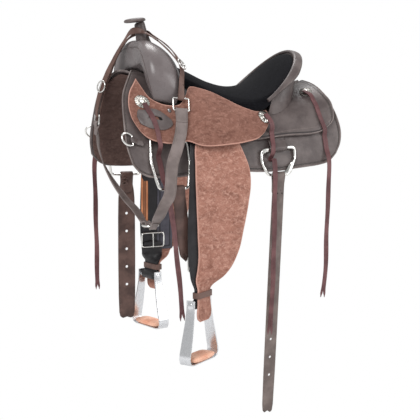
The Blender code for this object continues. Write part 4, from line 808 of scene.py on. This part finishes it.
cap_place = Matrix.Translation(HORN_CAP_AT) @ Matrix.Rotation(math.radians(-HORN_CAP_TILT), 4, "Y")
R, H = HORN_CAP_RADIUS, HORN_CAP_THICK
cap_profile = [(0.0, H), (R * 0.35, H * 0.985), (R * 0.62, H * 0.94), (R * 0.80, H * 0.87), (R * 0.90, H * 0.78),
               (R * 0.955, H * 0.66), (R * 0.975, H * 0.56), (R * 0.965, H * 0.52), (R * 0.985, H * 0.48),
               (R * 1.0, H * 0.40), (R * 0.985, H * 0.27), (R * 0.90, H * 0.14), (R * 0.70, H * 0.05), (0.0, 0.0)]
put(turned(cap_profile, 64, cap_place, "horn_cap_leather"), "horn_cap_leather", "smooth", "smooth_leather", "saddle",
    "horn_cap", 60.0)
seam = [cap_place @ Vector((R * 0.972 * math.cos(a), R * 0.972 * math.sin(a), H * 0.53))
        for a in (2 * math.pi * k / 60 for k in range(61))]
sewn("horn_cap_stitches", [seam], "saddle", "smooth_leather")

# %% Seat and cantle band
SEAT_FRONT, SEAT_FRONT_HALF, SEAT_THICK = -0.128, 0.068, 0.020
RIM_BACK, RIM_ENDS, RIM_HALF, RIM_TOP, RIM_LOW = 0.243, 0.100, 0.152, 0.186, 0.044
BAND_WIDTH, BAND_END, BAND_THICK, BAND_DROP = 0.028, 0.010, 0.0105, (0.22, 1.10)
REAR_JOCKEYS_FROM, WALL_SECTION_END = 0.015, 0.36


def rim_point(a):
    """The cantle's rim at angle a from the middle, in plan an egg and leaning back."""
    c, s = math.cos(a), math.sin(a)
    return Vector((RIM_ENDS + (RIM_BACK - RIM_ENDS) * abs(c) ** 0.75, RIM_HALF * s,
                   RIM_LOW + (RIM_TOP - RIM_LOW) * abs(c) ** 0.9))


def seat_point(u, v):
    """The seat's top: u from the swell to the rim, v from the near edge to the off edge."""
    a = v * math.pi / 2
    middle_x, edge_x = SEAT_FRONT + (RIM_BACK - SEAT_FRONT) * u, SEAT_FRONT + (RIM_ENDS - SEAT_FRONT) * u
    x = edge_x + (middle_x - edge_x) * abs(math.cos(a)) ** 0.75
    half = through(u, ((0.0, SEAT_FRONT_HALF), (0.25, 0.088), (0.5, 0.118), (0.75, 0.142), (1.0, RIM_HALF)))
    middle_z = through(u, ((0.0, 0.150), (0.12, 0.129), (0.3, 0.098), (0.48, 0.084), (0.62, 0.090), (0.76, 0.115),
                           (0.9, 0.158), (1.0, RIM_TOP)))
    edge_z = through(u, ((0.0, 0.118), (0.2, 0.092), (0.45, 0.062), (0.7, 0.047), (1.0, RIM_LOW)))
    crown = math.cos(a) ** 2 if u < 0.7 else abs(math.cos(a)) ** (2 - 1.1 * (u - 0.7) / 0.3)
    return Vector((x, half * math.sin(a), edge_z + (middle_z - edge_z) * crown))


def seat_floor(x, y):
    """The height of what the seat rests on: the bars in front, the rear jockeys behind."""
    under = bar_top(x) if x <= REAR_JOCKEYS_FROM else under_rear_jockey(x, 0) + JOCKEY
    return height_over(x, y, under + 2 * FIT)


def make_seat():
    """The seat's foam stands 4 mm proud between its edges, and sinks to a rolled edge."""
    def spot(u, t):
        p = seat_point(u, -1 + 2 * t)
        e = min(u * 0.40, (1 - u) * 0.40, t * 0.36, (1 - t) * 0.36)
        puff = 0.0042 * float(step(e / 0.030)) - 0.0032 * (1 - float(step(e / 0.007)))
        under = max(p.z - SEAT_THICK * (1.0 + 0.4 * (1 - u)), seat_floor(p.x, p.y) + FIT)
        return Vector((p.x, p.y, min(under, p.z - 0.006))), p + Vector((0, 0, puff)), e

    across = eased(0.30, 48)
    return between(*grids([[(u, t) for t in across] for u in eased(0.40, 54)], spot), "seat_suede")


seat = put(make_seat(), "seat_suede", "seat", "seat_suede", "saddle", "seat", 60.0)


def band_frames(count):
    """Along the rim: its points, the direction across the band, the band's up and its width."""
    angles = [math.radians(a) for a in np.linspace(-88, 88, count)]
    rim = [rim_point(a) for a in angles]
    frames = []
    for i, (a, p) in enumerate(zip(angles, rim)):
        run = heading(rim, i)
        flat = Vector((p.x - RIM_ENDS + 0.05, p.y, 0)).normalized()
        side = flat - Vector((0, 0, BAND_DROP[0] + (BAND_DROP[1] - BAND_DROP[0]) * math.sin(a) ** 2))
        side = (side - run * side.dot(run)).normalized()
        up = side.cross(run).normalized()
        if up.z < 0:
            up = -up
        ends = min(i, count - 1 - i) / (count - 1) * 24 / 5
        frames.append((p, side, up, BAND_END + (BAND_WIDTH - BAND_END) * float(step(ends))))
    return frames


def make_band():
    """The band over the cantle's rim: a full roll next to the seat, flatter and sewn towards its outer edge."""
    rings, seam = [], []
    for p, side, up, width in band_frames(121):
        middle = p + side * (width / 2 + FIT) + up * (BAND_THICK / 2)
        ring = []
        for t in around(32):
            across, rise = powered(math.cos(t), 0.6), powered(math.sin(t), 0.8)
            crease = 0.0010 * math.exp(-((across - 0.62) / 0.08) ** 2) if rise > 0 else 0.0
            ring.append(middle + side * (across * width / 2) + up * (rise * BAND_THICK / 2 - crease))
        rings.append(ring)
        seam.append(middle + side * (0.62 * width / 2) + up * (BAND_THICK * 0.40))
    put(lofted(rings, "cantle_band"), "cantle_band", "smooth", "smooth_leather", "saddle", "cantle_roll", 60.0)
    sewn("cantle_band_stitches", [seam[6:-6]], "saddle", "smooth_leather")


def make_wall():
    """The leather wall that stands on the rear jockeys and carries the band."""
    wall = []
    for p, side, up, width in band_frames(49)[1:-1]:
        out = Vector((side.x, side.y, 0)).normalized()
        near, far = p + side * (width * 0.20) - up * 0.0002, p + side * (width * 0.52) - up * 0.0002
        ring = [near, near.lerp(far, 0.5), far]
        for q in (far - out * 0.012, near - out * 0.004):
            ground = height_over(min(q.x, WALL_SECTION_END), q.y, under_rear_jockey(q.x, 0) + JOCKEY + FIT)
            ring.append(Vector((q.x, q.y, min(ground, q.z - 0.003))))
        wall.append(ring)
    put(lofted(wall, "cantle_wall"), "cantle_wall", "smooth", "smooth_leather", "saddle", "cantle_back", 60.0)


make_band()
make_wall()
print("swell, horn, seat and cantle")

# %% [markdown]
# ## Fenders, stirrup leathers and stirrups
#
# The fender is a wide suede flap over the strong stirrup leather. Both hang from the bar and are turned above the
# stirrup, so that a foot finds it easily. The stirrups are aluminium with a tan padded tread, and turn on a bolt.

# %% Fenders
HANG_X, HANG_Z = -0.092, 0.050
LEATHER, FENDER, FENDER_ROLL, FENDER_CREASE = 0.004, 0.0045, 0.0018, 0.0004
LEATHER_X = {-1.0: -0.118, 1.0: -0.103}
FAN_REACH = (
    (0.030, 0.146), (0.050, 0.158), (0.080, 0.1745), (0.120, 0.1960), (0.160, 0.2085), (0.200, 0.2165),
    (0.240, 0.2235), (0.300, 0.2250), (0.480, 0.2300), (0.620, 0.2310),
)
FENDER_LEFT = (
    (-0.048, -0.120), (-0.080, -0.129), (-0.110, -0.131), (-0.170, -0.134), (-0.300, -0.131), (-0.390, -0.131),
    (-0.430, -0.138), (-0.462, -0.1495), (-0.500, -0.1505), (-0.530, -0.154), (-0.540, -0.150), (-0.548, -0.138),
)
FENDER_RIGHT = (
    (-0.048, -0.005), (-0.085, 0.010), (-0.125, 0.024), (-0.170, 0.028), (-0.230, 0.021), (-0.300, 0.006),
    (-0.360, -0.010), (-0.410, -0.038), (-0.440, -0.068), (-0.462, -0.0865), (-0.500, -0.0855), (-0.530, -0.082),
    (-0.540, -0.086), (-0.548, -0.098),
)
TWIST_FROM, TWIST_TO, TWIST = -0.425, -0.462, {-1.0: 37.0, 1.0: 74.0}


def fan_reach(x, z):
    """How far out the leathers hang at a distance from the hang line."""
    return float(through(math.hypot(x - HANG_X, z - HANG_Z), FAN_REACH))


def fan(x, out, z, side):
    """A point of the fender or leather. out is measured outward from the leather's inner face."""
    turn = math.radians(TWIST[side]) * step((TWIST_FROM - z) / (TWIST_FROM - TWIST_TO))
    middle = LEATHER_X[side]
    axis = fan_reach(middle, z)
    dx, dy = x - middle, fan_reach(x, z) + out - axis
    c, s = math.cos(turn), math.sin(turn)
    return Vector((middle + dx * c + dy * s, side * (axis - dx * s + dy * c), z))


def make_fender(name, side):
    left, right = [(-z, x) for z, x in FENDER_LEFT], [(-z, x) for z, x in FENDER_RIGHT]
    top, low = FENDER_LEFT[0][0], FENDER_LEFT[-1][0]
    shift = LEATHER_X[side] - LEATHER_X[-1.0]
    places = []
    for v in eased(top - low, 90):
        z = top + (low - top) * v
        a, b = float(through(-z, left)), float(through(-z, right))
        places.append([(a + (b - a) * u + shift * float(step(-z / 0.25)), z,
                        min(u * (b - a), (1 - u) * (b - a), v * (top - low), (1 - v) * (top - low)))
                       for u in eased(0.13, 22)])

    def spot(x, z, e):
        base, fall = LEATHER + 2 * FIT, falling(e, FENDER_ROLL)
        return (fan(x, base + fall * FENDER * 0.3, z, side),
                fan(x, base + FENDER * (1 - 0.45 * fall) - creased(e, FENDER_CREASE), z, side), e)

    put(between(*grids(places, spot), "fender"), "fender_%s_suede" % name, "suede", "suede", "fender_" + name,
        "fender_" + name, 60.0)


for name, side in SIDES:
    make_fender(name, side)
    fine("stirrup_leather_" + name, "black", "strap_leather", smooth=1)
    fine("hobble_strap_" + name, "wither", "strap_leather", 0.0006)
    fine("stirrup_buckle_" + name, "steel", "steel", smooth=1)
    fine("stirrup_" + name, "aluminium", "aluminium", 0.0008, sharp=35.0)
    tread = fine("tread_" + name, "tread", "tread", smooth=2, sharp=60.0)
print("fenders, leathers, stirrups and treads")

# %% [markdown]
# ## Rosettes, keeper, screws and rings
#
# Round silver rosettes hold the saddle strings: a scalloped rim and petals cut towards the middle. The keeper is a
# leather patch with a slot, held by a rosette and a screw. The rigging rings are bent and welded rod, folded into
# short leather hangers.

# %% Rosettes
ROSETTE_RADIUS, ROSETTE_THICK = 0.0185, 0.0065
ROSETTES = {"near_front": (-1.0, -0.257, 0.163), "near_middle": (-1.0, 0.099, 0.150),
            "near_rear": (-1.0, 0.262, 0.086), "off_front": (1.0, -0.257, 0.163)}
PETALS = 16


def top_of_rear_jockey(x, s):
    return under_rear_jockey(x, s) + JOCKEY


def top_of_seat_jockey(x, s):
    return under_seat_jockey(x, s) + JOCKEY


def make_rosette(name, side, x, s):
    """Rings from the rim inwards, raised and sunk with the petals."""
    surface = top_of_rear_jockey if name == "near_rear" else top_of_seat_jockey
    rings = []
    for part, h, petal, scallop in (
        (0.30, 0.02, 0.0, 0.0), (0.96, 0.02, 0.0, 1.0), (1.0, 0.10, 0.0, 1.0), (1.0, 0.26, 0.0, 1.0),
        (0.95, 0.36, 0.10, 0.9), (0.86, 0.50, 0.22, 0.3), (0.74, 0.62, 0.26, 0.0), (0.60, 0.70, 0.22, 0.0),
        (0.46, 0.74, 0.10, 0.0), (0.40, 0.70, 0.0, 0.0), (0.37, 0.80, 0.0, 0.0), (0.30, 0.92, 0.0, 0.0),
        (0.15, 0.98, 0.0, 0.0), (0.01, 1.0, 0.0, 0.0),
    ):
        ring = []
        for a in around(PETALS * 8):
            wave = abs(math.cos(a * PETALS / 2))
            r = ROSETTE_RADIUS * part * (1 - 0.075 * scallop * (1 - wave))
            u, v = x + r * math.cos(a), s + r * math.sin(a)
            ring.append(skin(u, v, surface(u, v) + FIT + ROSETTE_THICK * (h - petal * (1 - wave)), side))
        rings.append(ring)
    node = "rosette_" + name
    put(lofted(rings, node), node + "_silver", "rosette", "steel", "saddle", node, 28.0)


for name, (side, x, s) in ROSETTES.items():
    make_rosette(name, side, x, s)

# %% Keeper, screws, rings and hangers
KEEPER_SLOT = ((-0.248, 0.196), (-0.209, 0.196), (-0.209, 0.210), (-0.248, 0.210))
fine("latigo_keeper", "smooth", "smooth_leather", 0.0007)
# painted shade: a near black sheet on the jockey under the keeper's slot stands for the shade seen through it
slot = [[skin(x, s, top_of_seat_jockey(x, s) + h, -1.0) for x, s in KEEPER_SLOT] for h in (0.0001, 0.0005)]
put(lofted(slot, "keeper_slot_shade"), "keeper_slot_shade", "hole", "smooth_leather", "saddle")


SCREW_AT, SCREW_RADIUS, SCREW_LIFT = (-0.190, 0.173), 0.0055, 0.0002
SCREW_HEAD = ((0.2, -0.1), (1.0, 0.0), (0.98, 0.35), (0.80, 0.75), (0.50, 0.96), (0.22, 1.0), (0.16, 0.72), (0.02, 0.7))


def screw(name, side):
    """A domed screw head, sunk at its middle, on the seat jockey."""
    x, s = SCREW_AT
    base = top_of_seat_jockey(x, s) + SCREW_LIFT
    rings = []
    for part, h in SCREW_HEAD:
        r = SCREW_RADIUS * part
        rings.append([skin(x + r * math.cos(a), s + r * math.sin(a), base + SCREW_RADIUS * 0.5 * h, side)
                      for a in around(24)])
    put(lofted(rings, name), name, "screw", "steel", "saddle", sharp=40.0)


for name, side in SIDES:
    screw("jockey_screw_" + name, side)
for name, side in SIDES:
    for which in ("front", "rear", "breast"):
        fine("%s_dee_%s" % (which, name), "steel", "steel", smooth=1)
    for node in ("front_hanger_", "rear_hanger_", "breast_tab_"):
        fine(node + name, "smooth", "smooth_leather", smooth=1)
    fine("collar_loop_" + name, "steel", "steel", smooth=1)
    fine("collar_buckle_" + name, "steel", "steel", smooth=1)
fine("collar_ring", "steel", "steel", smooth=1)
print("rosettes, keeper, screws and rings")

# %% [markdown]
# ## Billets and latigo
#
# The billets are long straps, folded over a ring and laced or sewn below it. Their round holes are cut right
# through the leather.

# %% Punched straps
PUNCH_WAY = pointed((0.0, 1.0, 0.0))
PUNCH_DEPTH = 0.03


def trees_over(names):
    """The measured parts' faces, ready for rays."""
    return [BVHTree.FromPolygons([v.co for v in nodes[n].data.vertices],
                                 [tuple(f.vertices) for f in nodes[n].data.polygons]) for n in names if n in nodes]


def punched(node, look, places, radius):
    """A strap taken over and rounded, with round holes cut through it."""
    made = fine(node, look, "strap_leather", smooth=1)
    work = bmesh.new()
    for place in places:
        bmesh.ops.create_cone(work, cap_ends=True, segments=20, radius1=radius, radius2=radius, depth=PUNCH_DEPTH,
                              matrix=Matrix.Translation(place) @ PUNCH_WAY)
    cutter = linked(node + "_punch", mesh_of(work, node + "_punch"))
    cut = made.modifiers.new("holes", "BOOLEAN")
    cut.operation = "DIFFERENCE"
    cut.solver = "EXACT"
    cut.object = cutter
    bpy.context.view_layer.update()
    mesh = bpy.data.meshes.new_from_object(made.evaluated_get(bpy.context.evaluated_depsgraph_get()))
    made.modifiers.clear()
    made.data = mesh
    bpy.data.objects.remove(cutter, do_unlink=True)
    mesh.shade_smooth()
    mesh.set_sharp_from_angle(angle=math.radians(45))


def strap_line(node, top, low, count):
    """Places down the middle of a hanging strap, from its mesh at two heights."""
    (tree,) = trees_over([node])
    found = []
    for z in (top, low):
        hits = []
        for x in np.linspace(-0.35, 0.35, 1401):
            for side in (-1.0, 1.0):
                spot, *_ = tree.ray_cast(Vector((x, side * 0.5, z)), Vector((0, -side, 0)), 0.45)
                if spot is not None:
                    hits.append(spot)
        wide = [h.x for h in hits]
        found.append(((min(wide) + max(wide)) / 2, float(np.median([h.y for h in hits])), z))
    (ax, ay, az), (bx, by, bz) = found
    return [(ax + (bx - ax) * t, ay + (by - ay) * t, az + (bz - az) * t) for t in np.linspace(0, 1, count)]


FLANK_HOLES = (-0.418, -0.730, 7)
OFF_HOLES = (-0.302, -0.524, 5)
punched("flank_billet_near", "billet", strap_line("flank_billet_near", *FLANK_HOLES), 0.0038)
punched("off_billet", "strap", strap_line("off_billet", *OFF_HOLES), 0.0042)
fine("latigo_near", "strap", "strap_leather", smooth=1)
print("billets and latigo")

# %% [markdown]
# ## Saddle strings
#
# Each saddle string is a pair of soft laces that comes out of its rosette, lies over the leathers and then hangs
# down to two pointed ends. A lace takes the shape of whatever it lies on, so its path is found by feeling for the
# highest leather under it. The two laces overlap a little and part at their tips.

# %% Saddle strings
STRING_WIDTH, STRING_THICK = 0.014, 0.0024
STRING_ROOM = {"near_front": 0.0011, "near_middle": 0.0011, "near_rear": 0.0016, "off_front": 0.0014}
STRINGS = {
    "near_front": (-1.0, ((-0.255, 0.170), (-0.236, 0.215), (-0.228, 0.260), (-0.223, 0.310), (-0.218, 0.402)),
                   ((-0.2070, 0.2225, -0.220), (-0.2010, 0.2215, -0.250), (-0.190, 0.2260, -0.350),
                    (-0.176, 0.2260, -0.490), (-0.172, 0.2260, -0.546))),
    "near_middle": (-1.0, ((0.101, 0.147), (0.114, 0.183), (0.110, 0.215), (0.106, 0.245), (0.105, 0.262)),
                    ((0.105, 0.2170, -0.110), (0.105, 0.2240, -0.140), (0.104, 0.2270, -0.200), (0.102, 0.2270, -0.366),
                     (0.097, 0.2270, -0.509), (0.090, 0.2270, -0.608))),
    "near_rear": (-1.0, ((0.252, 0.087), (0.266, 0.115), (0.272, 0.165), (0.284, 0.211), (0.286, 0.262)),
                  ((0.284, 0.2080, -0.140), (0.279, 0.2080, -0.300), (0.276, 0.2080, -0.440), (0.268, 0.2080, -0.518))),
    "off_front": (1.0, ((-0.258, 0.171), (-0.272, 0.230), (-0.282, 0.282), (-0.288, 0.330), (-0.290, 0.362)),
                  ((-0.291, 0.209, -0.160), (-0.291, 0.206, -0.240), (-0.291, 0.200, -0.360), (-0.291, 0.194, -0.528))),
}
UNDER = ("skirt_%s", "seat_jockey_%s", "rear_jockey_%s", "breast_tab_%s", "front_hanger_%s", "front_dee_%s",
         "rear_hanger_%s", "rear_dee_%s", "rosette_%s_front", "rosette_%s_middle", "rosette_%s_rear")
SPLIT, TIP = 0.030, 0.014
LACE_SECTION = ((-1, -0.4), (-0.9, -1), (0, -1), (0.9, -1), (1, -0.4), (1, 0.4), (0.9, 1), (0, 1), (-0.9, 1), (-1, 0.4))


def laid_over(spots, trees, side):
    """Height above the form of the outermost skin at any of the (x, s) spots."""
    top, best = 0.14, 0.0
    for x, s in spots:
        start = skin(x, s, top, side)
        way = (skin(x, s, 0.0, side) - start).normalized()
        for tree in trees:
            spot, _, _, far = tree.ray_cast(start, way, top)
            if spot is not None:
                best = max(best, top - far)
    return best


def string_path(name):
    """The middle of a pair of laces, and at each point the direction away from the horse."""
    side, laid_at, hung = STRINGS[name]
    near = "near" if side < 0 else "off"
    trees = trees_over([n % near for n in UNDER] + (["latigo_keeper"] if side < 0 else []))
    flat = smooth_path(laid_at, 15)
    path, away = [], []
    for i, here in enumerate(flat):
        spots = []
        for other in (flat[max(i - 1, 0)], flat[min(i + 1, len(flat) - 1)]):
            for t in (0.0, 0.35, 0.7, 1.0):
                x, v = here + (other - here) * t
                spots += [(x + dx, v) for dx in (-STRING_WIDTH / 2 - 0.001, 0.0, STRING_WIDTH / 2 + 0.001)]
        d = laid_over(spots, trees, side) + STRING_THICK / 2 + STRING_ROOM[name]
        path.append(skin(*here, d, side))
        away.append((skin(*here, d + 0.01, side) - path[-1]).normalized())
    for x, y, z in hung:
        path.append(Vector((x, side * y, z)))
        away.append(Vector((0.0, side, 0.0)))
    return path, away


def finer(path, away, count):
    """The same path with evenly spread points, and the directions carried along."""
    p = smooth_path([tuple(q) for q in path], count)
    run = np.concatenate([[0], np.cumsum([(b - a).length for a, b in zip(path, path[1:])])])
    at = np.linspace(0, run[-1], count)
    n = np.stack([np.interp(at, run, [q[k] for q in away]) for k in range(3)], 1)
    return [Vector(q) for q in p], [Vector(q).normalized() for q in n]


def make_string(name):
    """Two laces side by side along the path, which part and taper at their tips."""
    path, away = finer(*string_path(name), 110)
    length = sum((b - a).length for a, b in zip(path, path[1:]))
    parts = []
    for lace in (-1.0, 1.0):
        rings, run_so_far = [], 0.0
        for i, p in enumerate(path):
            run_so_far += (p - path[i - 1]).length if i else 0.0
            run = heading(path, i)
            wide = run.cross(away[i]).normalized()
            up = wide.cross(run)
            left = length - run_so_far
            part = float(step(1 - left / SPLIT))
            shift = lace * (STRING_WIDTH * 0.23 + 0.0022 * part + 0.0008 * math.sin(run_so_far * 41 + lace))
            half = STRING_WIDTH * 0.27 * (1.0 - 0.85 * float(step(1 - left / TIP)))
            if lace < 0 and left < 0.004:
                half *= 0.6
            h = STRING_THICK / 2 * (0.96 if lace > 0 else 0.80)
            lean = 0.10 * lace + 0.12 * math.sin(run_so_far * 23)
            ring = []
            for a, b in LACE_SECTION:
                across, rise = shift + a * half, b * h + a * half * lean * 0.2
                ring.append(p + wide * across + up * rise)
            rings.append(ring)
        parts.append(lofted(rings, "lace"))
    work = bmesh.new()
    for mesh in parts:
        work.from_mesh(mesh)
    node = "saddle_string_" + name
    made = put(mesh_of(work, node), node + "_laces", "string", "string_leather", BODY_OF[node], node, 50.0)
    return length


for name in STRINGS:
    print("string", name, "length", round(make_string(name), 3))

# %% [markdown]
# ## Breast collar
#
# The collar's grey straps are edged with a raised border, sewn on both sides. They fold round the wire loops at the
# top and round the ring at the bottom. A softer brown strap holds the collar up from the horn; its punched holes
# are painted as dark eyes of shade, and the tongues of its oval buckles lie across their frames.

# %% Folds and routes of the collar
LOOP_RADIUS, PIN_FIT, COLLAR, BORDER, BORDER_RISE = 0.0025, 0.0003, 0.0042, 0.0030, 0.0010
NEAR_LOOP_TOP, NEAR_LOOP_LOW = (-0.158, 0.146, 0.0630), (-0.162, 0.172, 0.0620)
OFF_LOOP_TOP, OFF_LOOP_LOW = (-0.316, 0.086, 0.008), (-0.318, 0.088, -0.017)
COLLAR_RING, COLLAR_RING_RADIUS, COLLAR_RING_WIRE, RING_ROOM = (-0.228, -0.120, -0.292), 0.022, 0.0032, 0.0028
COLLAR_WIDTHS, COLLAR_END = {"near": 0.034, "off": 0.026}, 0.019
COLLAR_NEAR_LAID = ((-0.165, 0.200, 0.0640), (-0.171, 0.235, 0.0620), (-0.184, 0.281, 0.0540), (-0.200, 0.330, 0.0460))
COLLAR_NEAR_HUNG = (
    (-0.213, -0.2420, -0.190), (-0.2270, -0.2370, -0.222), (-0.2295, -0.208, -0.252), (-0.2295, -0.178, -0.274),
)
COLLAR_OFF_HUNG = (
    (-0.311, 0.105, -0.055), (-0.302, 0.125, -0.092), (-0.288, 0.120, -0.140), (-0.270, 0.090, -0.187),
    (-0.252, 0.030, -0.232), (-0.238, -0.030, -0.262),
)


def loop_places():
    """Each loop's upper bar, lower bar, direction along the bars and direction away from the horse."""
    places = {}
    for name, top, low, wide, away in (
        ("near", skin(*NEAR_LOOP_TOP, -1.0), skin(*NEAR_LOOP_LOW, -1.0), (1, 0, 0), (0, -1, 0)),
        ("off", Vector(OFF_LOOP_TOP), Vector(OFF_LOOP_LOW), (0, 1, 0), (-1, 0, 0)),
    ):
        down = (low - top).normalized()
        wide = Vector(wide)
        wide = (wide - down * wide.dot(down)).normalized()
        out = wide.cross(down)
        places[name] = top, low, wide, out if out.dot(Vector(away)) > 0 else -out
    return places


def turn_round(centre, leave, away, radius, count=9):
    """Half a turn round a bar, from its outer side over the bar to its inner side."""
    centre, leave, away = Vector(centre), Vector(leave).normalized(), Vector(away).normalized()
    return [centre + (away * math.cos(a) - leave * math.sin(a)) * radius for a in np.linspace(0, math.pi, count)]


def fold(bar, leave, outside, radius, tails):
    """A strap's fold round a bar, and its short tail behind the strap."""
    turn = turn_round(bar, leave, outside, radius, 14)
    gather, length = 2 * radius - COLLAR - FIT, tails[2]
    return turn + [turn[-1] + leave * t + outside * (gather * float(step(t / length)))
                   for t in np.linspace(tails[0], tails[1], 8)]


def collar_path(name):
    """The strap from its tail behind the loop to its tail behind the ring, and its width at each point."""
    top, low, wide, away = loop_places()[name]
    hung = ([skin(*q, -1.0) for q in COLLAR_NEAR_LAID] + [Vector(q) for q in COLLAR_NEAR_HUNG] if name == "near"
            else [Vector(q) for q in COLLAR_OFF_HUNG])
    start = fold(low, (low - top).normalized(), away, LOOP_RADIUS + PIN_FIT + FIT / 2 + COLLAR / 2,
                 (0.006, 0.034, 0.018))[::-1]
    ring = Vector(COLLAR_RING)
    radial = Vector((hung[-1].x - ring.x, hung[-1].y - ring.y, 0)).normalized()
    foot, along = ring + radial * COLLAR_RING_RADIUS, Vector((-radial.y, radial.x, 0))
    leave = hung[-1] - foot
    leave = (leave - along * leave.dot(along)).normalized()
    outside = leave.cross(along)
    outside = -outside if outside.z > 0 else outside
    end = fold(foot, leave, outside, COLLAR_RING_WIRE + RING_ROOM + COLLAR / 2, (0.007, 0.032, 0.02))
    along = -along if along.dot(wide) < 0 else along
    middle = [Vector(p) for p in smooth_path([tuple(p) for p in [start[-1]] + hung + [end[0]]], 60)[1:-1]]
    path = start + middle + end
    across, widths = [], []
    for i in range(len(path)):
        t = float(step((i - len(start)) / len(middle)))
        across.append(wide.lerp(along, t).normalized())
        narrow = float(step((i - len(start) - len(middle) * 0.80) / (len(middle) * 0.20)))
        widths.append(COLLAR_WIDTHS[name] + (COLLAR_END - COLLAR_WIDTHS[name]) * narrow)
    return path, across, widths


def bordered(path, across, widths, thick, name):
    """A strap whose two edges are rounded and raised, and the lines along which they are sewn."""
    rings, seams = [], ([], [])
    for i, p in enumerate(path):
        run = heading(path, i)
        wide = (across[i] - run * across[i].dot(run)).normalized()
        up = run.cross(wide).normalized()
        half, h = widths[i] / 2, thick / 2
        inside, field = half - BORDER, h - BORDER_RISE
        shape = [(half, 0.0), (half - 0.0005, 0.6 * h), (half - 0.0012, h), (inside + 0.0005, h), (inside, field),
                 (inside - 0.001, field), (0.0, field)]
        shape += [(-a, b) for a, b in shape[-2::-1]]
        shape += [(a, -b) for a, b in shape[-2:0:-1]]
        rings.append([p + wide * a + up * b for a, b in shape])
        for seam, sign in zip(seams, (-1, 1)):
            seam.append([p + wide * (sign * (inside - 0.0022)) + up * (k * field) for k in (-1, 1)])
    return lofted(rings, name), seams


for name in COLLAR_WIDTHS:
    node = "collar_" + name
    path, across, widths = collar_path(name)
    mesh, seams = bordered(path, across, widths, COLLAR, node)
    put(mesh, node + "_leather", "collar", "collar_leather", "breast_collar", node, 50.0)
    lines = [[pair[k] for pair in seam[24:-24]] for seam in seams for k in (0, 1)]
    sewn(node + "_stitches", lines, "breast_collar", "collar_leather")

# %% Wither strap with the painted shade of its holes
WITHER_HOLES = (
    ((-0.2032, -0.0617, 0.2284), (-0.827, -0.202, -0.524)), ((-0.1895, -0.0812, 0.2164), (-0.694, -0.667, 0.273)),
    ((-0.1753, -0.0946, 0.2034), (0.509, -0.322, 0.798)), ((-0.1445, -0.1535, 0.1472), (0.611, -0.654, 0.446)),
    ((-0.1495, -0.1741, 0.0961), (-0.01, -0.944, 0.331)),
)
fine("wither_strap", "wither", "strap_leather", smooth=1)


def stud(name, at, out, size, look, slot, body, rise=0.35):
    """A small round dome standing on a surface: a rivet, a lacing knot, or a dark eye of painted shade where a hole is.
    """
    profile = [(0.0, size * rise), (size * 0.5, size * rise * 0.9), (size * 0.85, size * rise * 0.55), (size, 0.0),
               (size * 0.9, -size * 0.3), (0.0, -size * 0.3)]
    return put(turned(profile, 16, Matrix.Translation(at) @ pointed(out), name), name, look, slot, body, sharp=60.0)


# painted shade: near black domes where the strap's holes are, since the strap itself is not cut
for i, (at, out) in enumerate(WITHER_HOLES):
    stud("wither_hole_shade_%d" % (i + 1), at, out, 0.0019, "hole", "strap_leather", "saddle", 0.10)


def tongue(name, a, b, lift, radius, body):
    """A buckle's tongue: a wire from its bar over the strap to the far side of the frame."""
    a, b, lift = Vector(a), Vector(b), Vector(lift)
    points = [a + (b - a) * t + lift * (4 * t * (1 - t)) for t in np.linspace(0, 1, 14)]
    sizes = [1.0 - 0.35 * t for t in np.linspace(0, 1, 14)]
    put(tube(points, radius, name, 10, sizes=sizes), name, "steel", "steel", body, sharp=60.0)


for name, centre, long, normal in (
    ("near", (-0.1434, -0.1502, 0.1523), (0.161, -0.622, -0.766), (-0.592, 0.560, -0.579)),
    ("off", (-0.3082, 0.0716, 0.0890), (0.302, -0.211, 0.930), (0.851, 0.500, -0.163)),
):
    centre, long, out = Vector(centre), Vector(long), -Vector(normal)
    tongue("collar_tongue_" + name, centre - long * 0.0165 + out * 0.001, centre + long * 0.0165 + out * 0.0026,
           out * 0.0006, 0.0014, BODY_OF["collar_buckle_" + name])
TONGUE_Y = 0.2212
for name, side in SIDES:
    x, y = LEATHER_X[side], side * TONGUE_Y
    tongue("stirrup_tongue_" + name, (x, y - side * 0.001, -0.3705), (x, y - side * 0.0045, -0.4135),
           (0, -side * 0.0012, 0), 0.0022, "fender_" + name)
print("collar, wither strap and tongues")

# %% [markdown]
# ## Small things that make it real
#
# Lacing holds the flank billet's fold, a knot holds the off billet's, and a tan and a slate facing show on the
# inside of the off stirrup leather. Two screws hold the swell's cover beside the gullet.

# %% Lacing, knots, facings and screws
LACING = ((0.1284, -0.2112, -0.1990), (0.1190, -0.2116, -0.2080), (0.1330, -0.2108, -0.2080))
for i, at in enumerate(LACING):
    stud("flank_lacing_%d" % (i + 1), at, (0.045, -0.999, 0.0), 0.0032, "hole", "strap_leather", "flank_billet_near")
KNOT = Vector((-0.1966, 0.2110, -0.2015))
knot = [KNOT + Vector((0.0085 * math.sin(2 * a), -0.003 - 0.0018 * math.cos(3 * a), 0.0095 * math.cos(a)))
        for a in around(60)]
put(tube(knot, 0.0030, "off_billet_knot", 10, True), "off_billet_knot", "strap", "strap_leather", "off_billet",
    sharp=60.0)
for i, (at, out) in enumerate((((-0.2248, 0.1171, 0.0990), (0.124, -0.857, -0.501)),
                              ((-0.2367, 0.1177, 0.1122), (-0.883, -0.331, -0.331)))):
    stud("gullet_screw_%d" % (i + 1), at, out, 0.0048, "steel", "steel", "saddle", 0.5)


FACING = 0.0009


def facing(name, look, x0, x1, top, low, side, out):
    """A thin leather facing on the inner face of the stirrup leather."""
    def spot(x, z):
        return fan(x, out, z, side), fan(x, out - FACING, z, side), min(x - x0, x1 - x, top - z, z - low)

    places = [[(x, z) for x in np.linspace(x0, x1, 7)] for z in np.linspace(top, low, 40)]
    put(between(*grids(places, spot), name), name, look, "strap_leather", "fender_off", sharp=50.0)


facing("off_leather_slate", "slate", -0.086, -0.036, -0.190, -0.422, 1.0, -0.0001)
facing("off_leather_tan", "amber", -0.139, -0.117, -0.185, -0.330, 1.0, -0.0001)
print("lacing, knots, facings and screws")
